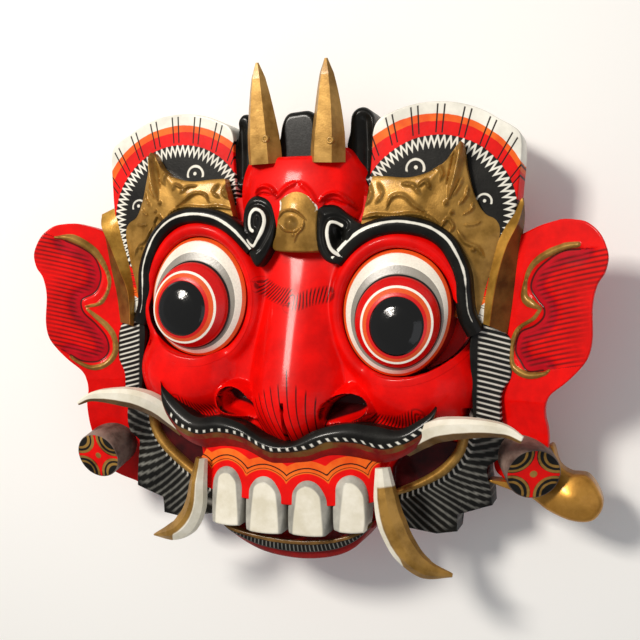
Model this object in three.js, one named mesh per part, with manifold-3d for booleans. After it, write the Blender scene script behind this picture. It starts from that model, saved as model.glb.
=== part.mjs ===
// Barong mask: a carved and painted wooden face with board ears, ear plugs, tusks, fangs and horns.
// It lies on its back. Millimetres, +Z out of the face, +X to the onlooker's right, +Y to the crown.
// Heights are given from the face plane, which is FACE above the back rim at z = 0.
import * as THREE from 'three';
import { mergeVertices } from 'three/addons/utils/BufferGeometryUtils.js';
import Module from 'manifold-3d';

const wasm = await Module();
wasm.setup();

// ---------- driving dimensions ----------
const FACE = 70;                 // face plane over the back rim
const MIDDLE = 3;                // middle of the whole mask's height over the carving's own zero
const HEAD = { cy: -27, a: 124, b: 108, n: 2.6 };   // head block: centre, half width, half height, squareness
const WALL = 15;                 // wood left around the hollow
const HOLLOW = 50;               // depth of the hollow behind the face
const GAP = 0.4;                 // clearance between two pieces that touch
const LEAN = 3.8;                // how far one side of the hand-carved face sits below the other
const CROWN = { cx: 86, cy: 65, outer: 70, front: -10, back: -36 };  // fan of the crown, each side
const EYE = { x: 67, y: 9.5, rx: 34, ry: 39 };       // eye ring
const EYEBALL = { x: 70, y: 3, rx: 27, ry: 28.5, top: 15 };
const LIP = { halfWidth: 5.5, halfHeight: 9 };
const BAND = { halfWidth: 6, halfHeight: 5 };        // black band of a brow
const TEETH = { xs: [-52, -27.5, 1.5, 30.5, 52], top: -94, bottom: -133, front: 13 };
const EAR = { hinge: 125, level: -20, flare: 0.42, thick: 9, fold: -46, lobeSlope: 0.24 };
const PLUG = { radius: 16.3, depth: 26 };
const HORN = { length: 62, halfWidth: 10, rise: 12 };
const SIDES = { left: -1, right: 1 };

// ---------- paints ----------
const paint = (color, roughness = 0.5, metalness = 0) =>
  new THREE.MeshStandardMaterial({ color, roughness, metalness });
const red = paint(0xcf1118, 0.35);
const gold = paint(0xa8843c, 0.45, 0.6);
const cream = paint(0xe4ddc8, 0.5);
const maroon = paint(0x4a2320, 0.45);

// ---------- helpers ----------
const smooth = (from, to, v) => THREE.MathUtils.smoothstep(v, from, to);
const fall = (from, to, v) => 1 - smooth(from, to, v);

// the carved face is not quite level: the onlooker's right side of the eyes sits lower
function lean(x, y) {
  const face = LEAN * smooth(-52, -30, y) * fall(62, 96, y) * Math.tanh(x / 22) * fall(72, 125, Math.abs(x));
  const chin = -0.035 * x * fall(-120, -92, y);
  return y - face - chin;
}

// remaps every vertex of a geometry by a function (x, y, z) => [x, y, z]
function remap(geometry, move) {
  const p = geometry.attributes.position;
  for (let i = 0; i < p.count; i++) {
    p.setXYZ(i, ...move(p.getX(i), p.getY(i), p.getZ(i)));
  }
  return geometry;
}

// turns a closed geometry into a solid, whichever way its faces were wound
function solid(geometry) {
  const bare = new THREE.BufferGeometry();
  bare.setAttribute('position', geometry.attributes.position.clone());
  bare.setIndex(geometry.index ? geometry.index.clone() : null);
  const merged = mergeVertices(bare, 1e-4);
  const xyz = merged.attributes.position.array;
  const corners = merged.index.array;
  const at = (i) => new THREE.Vector3(xyz[3 * i], xyz[3 * i + 1], xyz[3 * i + 2]);
  const faces = [];
  let volume = 0;
  for (let i = 0; i < corners.length; i += 3) {
    const [a, b, c] = [corners[i], corners[i + 1], corners[i + 2]];
    if (a === b || b === c || c === a) continue;
    faces.push([a, b, c]);
    volume += at(a).dot(at(b).cross(at(c)));
  }
  const triVerts = Uint32Array.from(faces.flatMap((f) => (volume < 0 ? [f[0], f[2], f[1]] : f)));
  return new wasm.Manifold(new wasm.Mesh({ numProp: 3, vertProperties: Float32Array.from(xyz), triVerts }));
}

const join = (parts) => parts.reduce((whole, part) => whole.add(part));

// the surface of a solid
function geometryOf(body) {
  const { vertProperties, triVerts, numProp } = body.getMesh();
  const geometry = new THREE.BufferGeometry();
  const xyz = new Float32Array((vertProperties.length / numProp) * 3);
  for (let i = 0; i < xyz.length / 3; i++) {
    for (let k = 0; k < 3; k++) xyz[3 * i + k] = vertProperties[i * numProp + k];
  }
  geometry.setAttribute('position', new THREE.BufferAttribute(xyz, 3));
  geometry.setIndex(new THREE.BufferAttribute(triVerts, 1));
  return geometry;
}

// a named mesh of a solid
function mesh(name, body, material) {
  const geometry = geometryOf(body);
  geometry.computeVertexNormals();
  const result = new THREE.Mesh(geometry, material);
  result.name = name;
  return result;
}

// an ellipsoid; z is its middle's height over the face plane
function ball(x, y, z, rx, ry, rz, around = 10, down = 8) {
  const g = new THREE.SphereGeometry(1, around, down).rotateX(Math.PI / 2);
  return g.scale(rx, ry, rz).translate(x, y, FACE + z);
}

// a flat piece with a given outline, from one height over the face plane to another
function slab(outline, low, high, curved = false) {
  const shape = new THREE.Shape();
  const corners = outline.map(([x, y]) => new THREE.Vector3(x, y, 0));
  const loop = new THREE.CatmullRomCurve3(corners, true);
  const edge = curved ? loop.getPoints(corners.length * 2).slice(0, -1) : corners;
  shape.setFromPoints(edge.map(({ x, y }) => new THREE.Vector2(x, y)));
  const g = new THREE.ExtrudeGeometry(shape, { depth: high - low, bevelEnabled: false });
  return g.translate(0, 0, FACE + low);
}

const route = (points) => new THREE.CatmullRomCurve3(points.map(([x, y, z]) => new THREE.Vector3(x, y, z)));

// a constant, or evenly spaced values read as one profile over 0..1
function profile(values) {
  if (typeof values === 'number') return () => values;
  return (t) => {
    const s = Math.min(Math.max(t, 0), 1) * (values.length - 1);
    const i = Math.min(Math.floor(s), values.length - 2);
    return THREE.MathUtils.lerp(values[i], values[i + 1], s - i);
  };
}

// an oval section carried along a curve that lies on the face; widths and heights are half sizes
function ribbon(points, widths, heights, steps = 16, sides = 8) {
  const curve = route(points);
  const wide = profile(widths);
  const high = profile(heights);
  const up = new THREE.Vector3(0, 0, 1);
  const g = new THREE.CylinderGeometry(1, 1, 1, sides, steps);
  return remap(g, (x, y, z) => {
    const t = 0.5 - y;
    const along = curve.getTangent(t);
    const across = new THREE.Vector3().crossVectors(along, up).normalize();
    const lift = new THREE.Vector3().crossVectors(across, along);
    const at = curve.getPoint(t).addScaledVector(across, x * wide(t)).addScaledVector(lift, z * high(t));
    return [at.x, at.y, FACE + at.z];
  });
}

// a round-cornered block with a shaped top; rho is 0 at its middle and 1 at its edge
function dome({ cy, a, b, n }, bottom, top, segments) {
  const radii = [0, 1, 1, 0.93, 0.8, 0.55, 0];
  const outline = radii.map((r, i) => new THREE.Vector2(r, i < 2 ? 0 : 1));
  return remap(new THREE.LatheGeometry(outline, segments), (x, y, z) => {
    const rho = Math.hypot(x, z);
    const turn = Math.atan2(z, x);
    const squarer = (Math.abs(Math.cos(turn)) ** n + Math.abs(Math.sin(turn)) ** n) ** (-1 / n);
    return [a * x * squarer, cy + b * z * squarer, y > 0.5 ? top(rho) : bottom];
  });
}

const mirrored = (geometry, side) => (side > 0 ? geometry : geometry.clone().scale(-1, 1, 1));
const leaning = (geometry) => remap(geometry, (x, y, z) => [x, lean(x, y), z]);

// ---------- the carved head ----------
const headBlock = () => dome(HEAD, 0, (rho) => FACE - 3 - 24 * rho ** 8, 36);

function hollow() {
  const shape = { ...HEAD, a: HEAD.a - WALL, b: HEAD.b - WALL };
  return dome(shape, -1, (rho) => HOLLOW * Math.sqrt(Math.max(0, 1 - rho ** 3)) - 0.5, 24);
}

// fan of the crown with its rounded outer corner
function crownPanel() {
  const { cx, cy, outer, front, back } = CROWN;
  const arc = [115, 102, 90, 78, 66, 55].map((deg) => {
    const turn = THREE.MathUtils.degToRad(deg);
    return [cx + outer * Math.cos(turn), cy + outer * Math.sin(turn)];
  });
  return slab([[40, 40], [47, 100], [47.5, 118], [51, 125], ...arc, [133, 122], [139, 116], [139.5, 106],
    [138.5, 88], [136, 66], [128, 40], [118, 0], [60, 30]], back, front);
}

// gold leaf-shaped crown layer between the brow and the black panels, with its tall peak
const goldLayer = () => slab([[40, 95], [58, 91], [73, 88], [85, 91], [94, 97], [99, 103], [104, 109],
  [108, 102], [108, 91], [112, 77], [118, 64], [127, 54], [124, 30], [120, 0], [112, -4], [100, 30],
  [68, 58], [40, 50]], -24, 1);
const goldPeak = () => ribbon([[104, 109, 0], [104, 98, -1], [102, 84, -2], [98, 68, -3]],
  [0.8, 4, 7, 3], [2, 5, 6, 2], 5, 4);

function brow() {
  const path = [[28, 41, 0], [40, 53, 1], [52, 59.5, 1], [68, 62, 1], [84, 59, 0], [95, 51, -1],
    [102, 41, -2], [106, 30, -3], [107.5, 18, -4], [109, 6, -6], [115, -3, -9]];
  return ribbon(path, BAND.halfWidth, BAND.halfHeight, 14, 6);
}

const eyelid = () => ribbon([[27, 20, -5], [34, 38, -3], [50, 49, -2], [68, 52, -2], [84, 48, -3],
  [96, 37, -4], [102, 20, -6]], [5, 6, 6.5, 6, 5], [6, 7, 7, 7, 6], 9, 6);

// ring of the eye and the ball that bulges out of it, a little down and outwards
function eye() {
  const ring = new THREE.CylinderGeometry(1, 1, 22, 20, 1).rotateX(Math.PI / 2);
  ring.scale(EYE.rx, EYE.ry, 1).translate(EYE.x, EYE.y, FACE - 11);
  const bed = slab([[26, 18], [29, 42], [46, 57], [68, 61], [88, 57], [101, 42], [106, 10], [60, 0]],
    -26, -1.5);
  const iris = ball(EYEBALL.x, EYEBALL.y, EYEBALL.top - 18, EYEBALL.rx, EYEBALL.ry, 18, 16, 8);
  return [ring, bed, iris];
}

const cheek = () => ball(77, -40, -10, 36, 27, 20, 16, 8);

// the broad nose: bridge, tip and wings
function nose() {
  const bridge = ribbon([[1, 42, -8], [1, 12, -3], [2, -20, 2], [2, -48, 5], [2, -66, 2]],
    [10, 12, 17, 24, 17], [5, 7, 10, 13, 7], 8, 10);
  return [bridge, ball(2, -54, 3, 27, 17, 15), ball(-38, -52, -3, 18, 15, 15), ball(40, -53, -3, 19, 15, 15)];
}
const nostril = (side) => ball(side * 37, -57, 9, 11, 7, 12, 10, 6);

// waved upper lip that carries the moustache
function upperLip() {
  const half = [[93, -50, -6], [85, -60, -2], [73, -68, 2], [60, -69, 5], [44, -66.5, 7], [29, -68.5, 9],
    [14, -73.5, 10]];
  const path = [...half.map(([x, y, z]) => [-x, y, z]), [0, -76, 11], ...half.reverse()];
  return ribbon(path, [3, LIP.halfWidth, LIP.halfWidth, LIP.halfWidth, LIP.halfWidth, 3],
    [5, LIP.halfHeight, LIP.halfHeight, LIP.halfHeight, LIP.halfHeight, 5], 20, 6);
}
const gum = () => slab([[-70, -70], [-45, -64], [0, -72], [45, -64], [70, -70], [66, -86], [58, -103],
  [-58, -103], [-66, -86]], -18, 10);

// a front tooth with an arched top
function tooth(left, right) {
  const middle = (left + right) / 2;
  const half = (right - left) / 2 - 0.6;
  const { top, bottom, front } = TEETH;
  const edge = [[1, bottom + 3], [0.72, bottom], [-0.72, bottom], [-1, bottom + 3], [-1, top - 8],
    [-0.66, top - 2], [0, top], [0.66, top - 2], [1, top - 8]];
  return slab(edge.map(([across, y]) => [middle + half * across, y]), -8, front);
}

// lower jaw: a crescent that shows under the teeth
const lowerJaw = () => slab([[-48, -118], [-42, -138], [-31, -146], [-14, -151], [5, -152.5], [24, -150],
  [38, -144], [50, -132], [54, -118]], -28, 2);

// beard collar with its stepped edge, beside and below the mouth
const collar = () => slab([[112, -50], [130, -58], [132, -71], [130, -82], [121.5, -88], [123, -101],
  [124.5, -117], [103.5, -124], [103, -135], [90, -137], [66, -133], [58, -112], [70, -100], [95, -86]],
-44, -20);
const mouthCorner = () => ribbon([[107, -64, -16], [105, -78, -16], [97, -89, -16], [84, -98, -15],
  [68, -107, -14]], 3, 6, 8, 6);
const sideburn = () => slab([[112, 4], [117, -2], [133, -8], [137, -18], [136, -31], [130, -42], [130, -60],
  [112, -60]], -44, -12);

// the guardian's head over the brows: brow knobs, nose plate, curls and hair
function guardian() {
  const skull = ball(3, 84, -20, 43, 30, 24, 16, 8);
  const forehead = ball(2, 58, -14, 34, 30, 14, 14, 8);
  const plate = slab([[-11, 43], [-8, 63], [-9, 75], [4, 85], [17, 74], [16, 63], [17, 43]], -6, 8);
  const boss = ball(4, 60, 7, 8, 9, 5, 12, 8);
  const curls = [ball(-24, 55, -3, 13, 20, 11), ball(29, 53, -3, 14, 20, 11)];
  const hair = slab([[-12, 100], [-11, 122], [-7, 131], [8, 131], [11, 122], [10, 100]], -34, -10);
  const ears = [ball(-42, 108, -18, 8, 23, 9), ball(45, 110, -18, 9, 22, 9)];
  const root = slab([[-54, 40], [-54, 98], [-44, 114], [44, 114], [54, 98], [54, 40]], -42, -18);
  return [root, skull, forehead, plate, boss, hair, ...curls, ...ears];
}

// both sides of paired shapes, and shapes of which there is one, joined with the lean of the carving
const bothSides = (shapes) => Object.values(SIDES).flatMap((side) => shapes.map((g) => mirrored(g, side)));
const carved = (paired, single) => join([...bothSides(paired), ...single].map(leaning).map(solid));

// the parts of the head that the ears and the tail meet
const headFrame = carved([crownPanel(), goldLayer(), collar(), sideburn()], [headBlock()]);
const features = carved([goldPeak(), brow(), eyelid(), ...eye(), cheek(), mouthCorner()],
  [...nose(), upperLip(), gum(), lowerJaw(), ...guardian()]);
const teeth = join(TEETH.xs.slice(1).map((right, i) => solid(tooth(TEETH.xs[i], right))));
const fullHead = join([headFrame, features, teeth]);
const cuts = [hollow(), nostril(-1), nostril(1)].map(solid);
const head = cuts.reduce((whole, cut) => whole.subtract(cut), fullHead);

// copies of a solid pushed every way by the clearance, to cut a seat that is a little larger
const pushes = [[GAP, 0, 0], [-GAP, 0, 0], [0, GAP, 0], [0, -GAP, 0], [0, 0, GAP], [0, 0, -GAP]];
const seatOf = (body) => pushes.map((push) => solid(geometryOf(body).translate(...push)));
const fitted = (piece, ...neighbours) =>
  neighbours.flatMap(seatOf).reduce((rest, seat) => rest.subtract(seat), piece);

// ---------- pieces fixed to the head ----------
// gold blade that stands beside each eye, with a ridge down its front
const blade = (path) =>
  fitted(solid(ribbon(path, [8, 9, 8, 5, 0.6], [8, 9, 9, 6, 0.6], 8, 4)), headFrame);

// faceted horn on the guardian's brow, leaning a little forwards
function horn(side) {
  const { length, halfWidth, rise } = HORN;
  const foot = 98;
  const path = [[side * 21, foot, -2], [side * 22, foot + length / 2, rise * 0.4 - 2],
    [side * 22.5, foot + length, rise - 2]];
  const taper = [halfWidth, halfWidth * 0.77, halfWidth * 0.5, 0.6];
  return fitted(solid(ribbon(path, taper, taper, 3, 6)), features);
}

// thick cylinder through the ear lobe; its front face looks a little outwards and down
function plug(front, rearShift) {
  const [x, y, z] = front;
  const axis = new THREE.Vector3(...rearShift).normalize();
  const turn = new THREE.Quaternion().setFromUnitVectors(new THREE.Vector3(0, -1, 0), axis);
  const g = new THREE.CylinderGeometry(PLUG.radius, PLUG.radius, PLUG.depth, 20);
  g.translate(0, -PLUG.depth / 2, 0).applyQuaternion(turn).translate(x, y, FACE + z);
  return fitted(solid(g), headFrame);
}

// the ear board flares forwards, and its lobe folds back below the waist
const flared = (geometry) => remap(geometry, (x, y, z) =>
  [x, y, z + EAR.level + EAR.flare * (Math.abs(x) - EAR.hinge) - EAR.lobeSlope * Math.max(0, EAR.fold - y)]);

// board ear with a waved outline and two raised scrolls
function ear(side, lobeBottom, neighbours) {
  const board = [[114, 50], [139, 54], [151, 59], [161, 62], [169, 62], [178, 60], [185, 54], [190.5, 40],
    [189, 31], [185, 25], [182, 12], [182.5, -6], [181, -17], [176, -25], [168, -33], [159, -41],
    [157, EAR.fold], [114, EAR.fold]];
  const lobe = [[124, EAR.fold], [157, EAR.fold], [156, -53], [158.5, -64], [158, -80],
    [148, lobeBottom + 10], [130, lobeBottom], [124, lobeBottom + 8]];
  const upper = [[175, 50], [165, 53], [155, 48], [146, 39], [139, 29], [138, 18], [142, 10], [153, 5]];
  const lower = [[147, -2], [140, -10], [136, -24], [141, -34], [152, -36], [163, -28]];
  const scroll = (points) =>
    ribbon(points.map(([x, y]) => [x, y, 0]), [0.8, 2, 2, 2, 0.8], [1, 2.2, 2.2, 2.2, 1], 7, 4);
  const shapes = [slab(board, -EAR.thick, 0), slab(lobe, -EAR.thick, 0), scroll(upper), scroll(lower)];
  return fitted(join(shapes.map((g) => solid(mirrored(flared(g), side)))), headFrame, ...neighbours);
}

// upper tusk: out of the corner of the mouth, outwards and up in front of the ear
const tusk = (path, widths) => fitted(solid(ribbon(path, widths, [4, 5, 5, 4, 3, 0.8], 11, 6)), features);
// lower fang: down past the teeth and outwards to a point
const fang = (path, widths) =>
  fitted(solid(ribbon(path, widths, [4, 5, 5, 5, 4, 0.7], 11, 6)), features, teeth);

// swelling gold tail behind the right ear plug
function tail(neighbours) {
  const outline = [[120, -97], [136, -97], [146, -92], [154, -78], [160, -73], [164, -84], [171, -89],
    [181, -90], [188, -99], [190, -108], [184, -117], [172, -118], [158, -113], [147, -106], [130, -101]];
  const body = join([solid(slab(outline, -36, -22, true)), solid(ball(173, -104, -25, 16, 12, 9))]);
  return fitted(body, headFrame, ...neighbours);
}

const blades = {
  left: blade([[-129, -8, -12], [-131, 22, -10], [-136, 52, -10], [-143, 78, -12]]),
  right: blade([[126, -8, -14], [128, 22, -12], [133, 52, -12], [140, 78, -13]]),
};
const plugs = { left: plug([-146, -99, -6], [1, 8, -25]), right: plug([151, -88, -6], [-9, 8, -23]) };
const ears = {
  left: ear(-1, -122, [blades.left, plugs.left]),
  right: ear(1, -97, [blades.right, plugs.right]),
};
const tusks = {
  left: tusk([[-74, -74, 6], [-90, -62, 10], [-104, -55.5, 13], [-122, -53.5, 17], [-135, -54, 20],
    [-143, -59, 23]], [6, 7.5, 7.5, 6.5, 4, 0.8]),
  right: tusk([[72, -76, 6], [87, -66.5, 10], [99, -62.5, 13], [118, -59.5, 17], [136, -59, 20],
    [146, -64, 23]], [6, 7.5, 7, 6, 4, 0.8]),
};
const fangs = {
  left: fang([[-59, -95, 12], [-60, -109, 12], [-62, -121, 11], [-68, -133, 9], [-79, -142, 6],
    [-97, -147.5, 1]], [4, 5, 6.5, 8, 7, 0.8]),
  right: fang([[64, -88, 12], [65.5, -108, 12], [69, -122, 11], [77, -137, 9], [89, -149, 5],
    [104, -152, 0]], [5.5, 7, 8.5, 8.5, 6.5, 0.8]),
};

const group = new THREE.Group();
group.add(mesh('mask_body', head, red));
for (const [name, side] of Object.entries(SIDES)) {
  group.add(mesh(`horn_${name}`, horn(side), gold));
  group.add(mesh(`blade_${name}`, blades[name], gold));
  group.add(mesh(`ear_${name}`, ears[name], red));
  group.add(mesh(`ear_plug_${name}`, plugs[name], maroon));
  group.add(mesh(`tusk_${name}`, tusks[name], cream));
  group.add(mesh(`fang_${name}`, fangs[name], gold));
}
group.add(mesh('gold_tail', tail([ears.right, plugs.right]), gold));
group.position.y = -MIDDLE;
export default group;
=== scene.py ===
# Barong mask: a carved and painted wooden head with board ears, ear plugs, tusks, fangs and horns.
import math

import bpy
import numpy as np
from mathutils import Matrix


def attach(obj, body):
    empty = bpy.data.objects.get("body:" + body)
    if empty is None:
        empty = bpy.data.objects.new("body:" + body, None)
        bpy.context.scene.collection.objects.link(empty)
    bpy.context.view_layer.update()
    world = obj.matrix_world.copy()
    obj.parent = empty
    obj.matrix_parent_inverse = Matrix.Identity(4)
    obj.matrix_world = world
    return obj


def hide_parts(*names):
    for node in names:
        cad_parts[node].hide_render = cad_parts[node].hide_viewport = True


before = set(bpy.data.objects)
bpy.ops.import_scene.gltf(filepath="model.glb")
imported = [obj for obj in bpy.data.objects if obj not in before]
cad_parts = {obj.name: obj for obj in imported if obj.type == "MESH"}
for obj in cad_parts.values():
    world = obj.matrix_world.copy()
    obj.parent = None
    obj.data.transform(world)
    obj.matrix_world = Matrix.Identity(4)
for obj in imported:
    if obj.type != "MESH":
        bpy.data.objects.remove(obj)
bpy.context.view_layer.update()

# ---------------------------------------------------------------- setting out, in millimetres
# Carving sizes are x to the right, y up the face and h up from the face level.
FACE = 70        # face level above the back rim
MIDDLE = 3       # the drawing's zero above the middle of the head
LEAN = 3.8       # how far the carver's hand lifts the left eye and drops the right one
HEAD = {"y": -27, "across": 124, "down": 108, "squareness": 2.6}
HOLLOW = {"across": 109, "down": 93, "depth": 50}
EYE = (67, 9.5)  # middle of the right eye's rim, before the lean
EYE_RIM = (34.5, 39.5)  # half width and half height of that rim
EYE_SIZE = 37    # their mean
CROWN = (86, 65)  # middle of the crown fan's painted arcs
CROWN_ARCS = (49.5, 58, 62.5)  # radii where its red, orange and white bands start
NOWHERE = -5.0   # a mark's value, in mm inside its edge, where its paint is absent


def ease(low, high, value):
    """0 below low, 1 above high and an S curve between them."""
    t = np.clip((value - low) / (high - low), 0, 1)
    return t * t * (3 - 2 * t)


SIDES = ((-1, "left"), (1, "right"))


def rise(x, y):
    """How far the lean lifts a point: a tanh step over the nose, faded out at the chin, crown and
    temples, and a small opposite tip of the jaw."""
    brow = ease(-52, -30, y) * (1 - ease(62, 96, y)) * (1 - ease(72, 125, np.abs(x)))
    return 0.035 * x * (1 - ease(-120, -92, y)) - LEAN * np.tanh(x / 22) * brow


def leaned(points):
    """The points moved up or down by the lean."""
    moved = np.array(points, float)
    moved[..., 1] += rise(moved[..., 0], moved[..., 1])
    return moved


def mirrored(points, side):
    """The points on the right (side 1) or flipped over to the left (side -1)."""
    moved = np.array(points, float)
    moved[..., 0] *= side
    return moved


def soft_max(a, b, soft):
    """The larger of a and b, rounded off by soft mm where they meet."""
    return 0.5 * (a + b + np.sqrt((a - b) ** 2 + soft**2))


def curve(points, count, closed=False):
    """Catmull-Rom curve through the points: count points spaced evenly along its length."""
    p = np.array(points, float)
    before, after = (p[-1:], p[:2]) if closed else (2 * p[:1] - p[1:2], 2 * p[-1:] - p[-2:-1])
    k = np.vstack([before, p, after])
    spans = len(k) - 3
    t = np.linspace(0, spans, spans * 24 + 1)
    i = np.minimum(t.astype(int), spans - 1)
    f = (t - i)[:, None]
    a, b, c, d = k[i], k[i + 1], k[i + 2], k[i + 3]
    fine = 0.5 * (2 * b + (c - a) * f + (2 * a - 5 * b + 4 * c - d) * f**2 + (3 * b - a - 3 * c + d) * f**3)
    run = np.concatenate([[0], np.cumsum(np.linalg.norm(np.diff(fine, axis=0), axis=1))])
    at = np.linspace(0, run[-1], count, endpoint=not closed)
    return np.stack([np.interp(at, run, fine[:, j]) for j in range(p.shape[1])], axis=1)


def spread(values, count):
    """Values given at even stations, filled in to count stations."""
    return np.interp(np.linspace(0, 1, count), np.linspace(0, 1, len(values)), values)


def drawn(line, x, y):
    """For each (x, y): the signed distance to a drawn line, positive on its left, and the run along it."""
    best = np.full(np.shape(x), 1e9)
    side, run = np.zeros_like(best), np.zeros_like(best)
    start = 0.0
    for a, b in zip(line[:-1, :2], line[1:, :2]):
        dx, dy = b - a
        long = math.hypot(dx, dy)
        t = np.clip(((x - a[0]) * dx + (y - a[1]) * dy) / long**2, 0, 1)
        ox, oy = x - a[0] - t * dx, y - a[1] - t * dy
        gap = np.hypot(ox, oy)
        near = gap < best
        best = np.where(near, gap, best)
        side = np.where(near, np.sign(dx * oy - dy * ox), side)
        run = np.where(near, start + t * long, run)
        start += long
    return side * best, run


def length(line):
    """How long a drawn line is."""
    return np.sum(np.linalg.norm(np.diff(line, axis=0), axis=1))


def inside(outline, x, y):
    """How far inside a closed outline each (x, y) is, in mm: negative outside."""
    line = np.vstack([outline, outline[:1]])
    turned = np.sum(line[:-1, 0] * line[1:, 1] - line[1:, 0] * line[:-1, 1])
    return drawn(line, x, y)[0] * np.sign(turned)


# ---------------------------------------------------------------- paints
def colour(hexed):
    """sRGB hex to the linear colour that the shader takes."""
    parts = [int(hexed[i : i + 2], 16) / 255 for i in (1, 3, 5)]
    return tuple(c / 12.92 if c <= 0.04045 else ((c + 0.055) / 1.055) ** 2.4 for c in parts) + (1.0,)


# Each paint: its tone where it is brushed thin and where it lies thick, roughness, metallic, grain
RED = ("#cf0300", "#ec0601", 0.48, 0.0, 0.012)       # glossy signal red of the face and ears
MAROON = ("#2a0406", "#4c070b", 0.50, 0.0, 0.015)    # dark red: painted shade in the face's recesses, and the ears' pen strokes
DEEP_RED = ("#6a0907", "#97110b", 0.50, 0.0, 0.02)   # darker red: painted shade on the lip's underside, and the red rim along the jaw
CRIMSON = ("#a40012", "#c4001a", 0.48, 0.0, 0.012)   # darker crimson along the ears' hollows
ORANGE = ("#e2500f", "#f0701f", 0.48, 0.0, 0.01)     # warm band on the gums and the crown
BLACK = ("#0b0a08", "#1b1a17", 0.42, 0.0, 0.05)      # brows, hair and lip, a little brown where thin
INK = ("#120604", "#1d0d0a", 0.50, 0.0, 0.0)         # thin drawn lines, nearly black
GREY = ("#8c8a82", "#b9b6ab", 0.60, 0.0, 0.03)       # shadow brushed on the flanks of the teeth
DIM = ("#62615c", "#8f8e86", 0.60, 0.0, 0.02)        # grey for white strokes over black
WHITE = ("#d9d6ca", "#f1eee2", 0.55, 0.0, 0.02)      # chalky white of bands, curls and dabs
CREAM = ("#d6cfba", "#ece7d8", 0.58, 0.0, 0.04)      # the white gone warm on teeth and tusks
GOLD = ("#7b5a24", "#b18743", 0.46, 0.42, 0.06)      # bronze powder in varnish, with a dull glow
BRONZE = ("#54391a", "#7e5c2c", 0.52, 0.30, 0.04)    # darker gold: the gold-brown edges of lip and jaw, the brown bevel under each tusk, also painted shade there, and painted shade on the blades' outer faces
WOOD = ("#7d5a38", "#b08a5e", 0.75, 0.0, 0.06)       # bare dry wood of the back and the hollow

PATCH = 0.016    # metres across one cloud of thick and thin paint
GRIT = 0.0011    # metres across one speck of the brushed grain, coarse enough to show
WANDER = 0.3     # millimetres that a painted edge strays from its line
SHEEN = 0.1      # specular level of the paint itself
VARNISH = 0.18   # weight of the clear varnish over it, which gives the small highlights
POLISH = 0.13    # roughness of that varnish


def add(tree, kind, inputs=None, **settings):
    """Adds a node. inputs maps a socket's name or place to a value, or to a node or output to link."""
    made = tree.nodes.new("ShaderNode" + kind)
    for name, value in settings.items():
        setattr(made, name, value)
    for place, value in (inputs or {}).items():
        if isinstance(value, bpy.types.Node):
            value = value.outputs[0]
        if isinstance(value, bpy.types.NodeSocket):
            tree.links.new(value, made.inputs[place])
        else:
            made.inputs[place].default_value = value
    return made


def coverage(tree, coat, stray):
    """Share of the surface that a coat covers. Its area mark gives mm inside its edge. Its phase mark
    counts drawn lines, and |fract - 1/2| times the pitch is the distance to the nearest one. A twin
    draws each line double; a zigzag lets it rise and fall across the mark it names, and then the
    distance is taken square to its slope."""
    value = None
    if "phase" in coat:
        phase = add(tree, "Attribute", attribute_name=coat["phase"]).outputs["Fac"]
        fract = add(tree, "Math", {0: phase}, operation="FRACT")
        off = add(tree, "Math", {0: fract, 1: 0.5}, operation="SUBTRACT")
        fold = add(tree, "Math", {0: off}, operation="ABSOLUTE")
        if "zigzag" in coat:
            mark, height = coat["zigzag"]
            slope = math.hypot(1, 2 * height / coat["pitch"])
            level = add(tree, "Attribute", attribute_name=mark).outputs["Fac"]
            climb = add(tree, "Math", {0: fold, 1: 2 * height}, operation="MULTIPLY")
            gap = add(tree, "Math", {0: level, 1: climb}, operation="SUBTRACT")
            gap = add(tree, "Math", {0: gap, 1: slope}, operation="DIVIDE")
        else:
            gap = add(tree, "Math", {0: fold, 1: coat["pitch"]}, operation="MULTIPLY")
            if "twin" in coat:
                gap = add(tree, "Math", {0: gap, 1: coat["twin"]}, operation="SUBTRACT")
        gap = add(tree, "Math", {0: gap}, operation="ABSOLUTE")
        value = add(tree, "Math", {0: coat["width"] / 2, 1: gap}, operation="SUBTRACT")
    if "area" in coat:
        area = add(tree, "Attribute", attribute_name=coat["area"]).outputs["Fac"]
        if value is None:
            value = add(tree, "Math", {0: area, 1: stray}, operation="ADD")
        else:
            value = add(tree, "Math", {0: value, 1: area}, operation="MINIMUM")
    soft = coat.get("soft", 0.16)
    full = coat.get("strength", 1.0)
    return add(tree, "MapRange", {0: value, 1: -soft, 2: soft, 3: 0.0, 4: full}).outputs[0]


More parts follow.
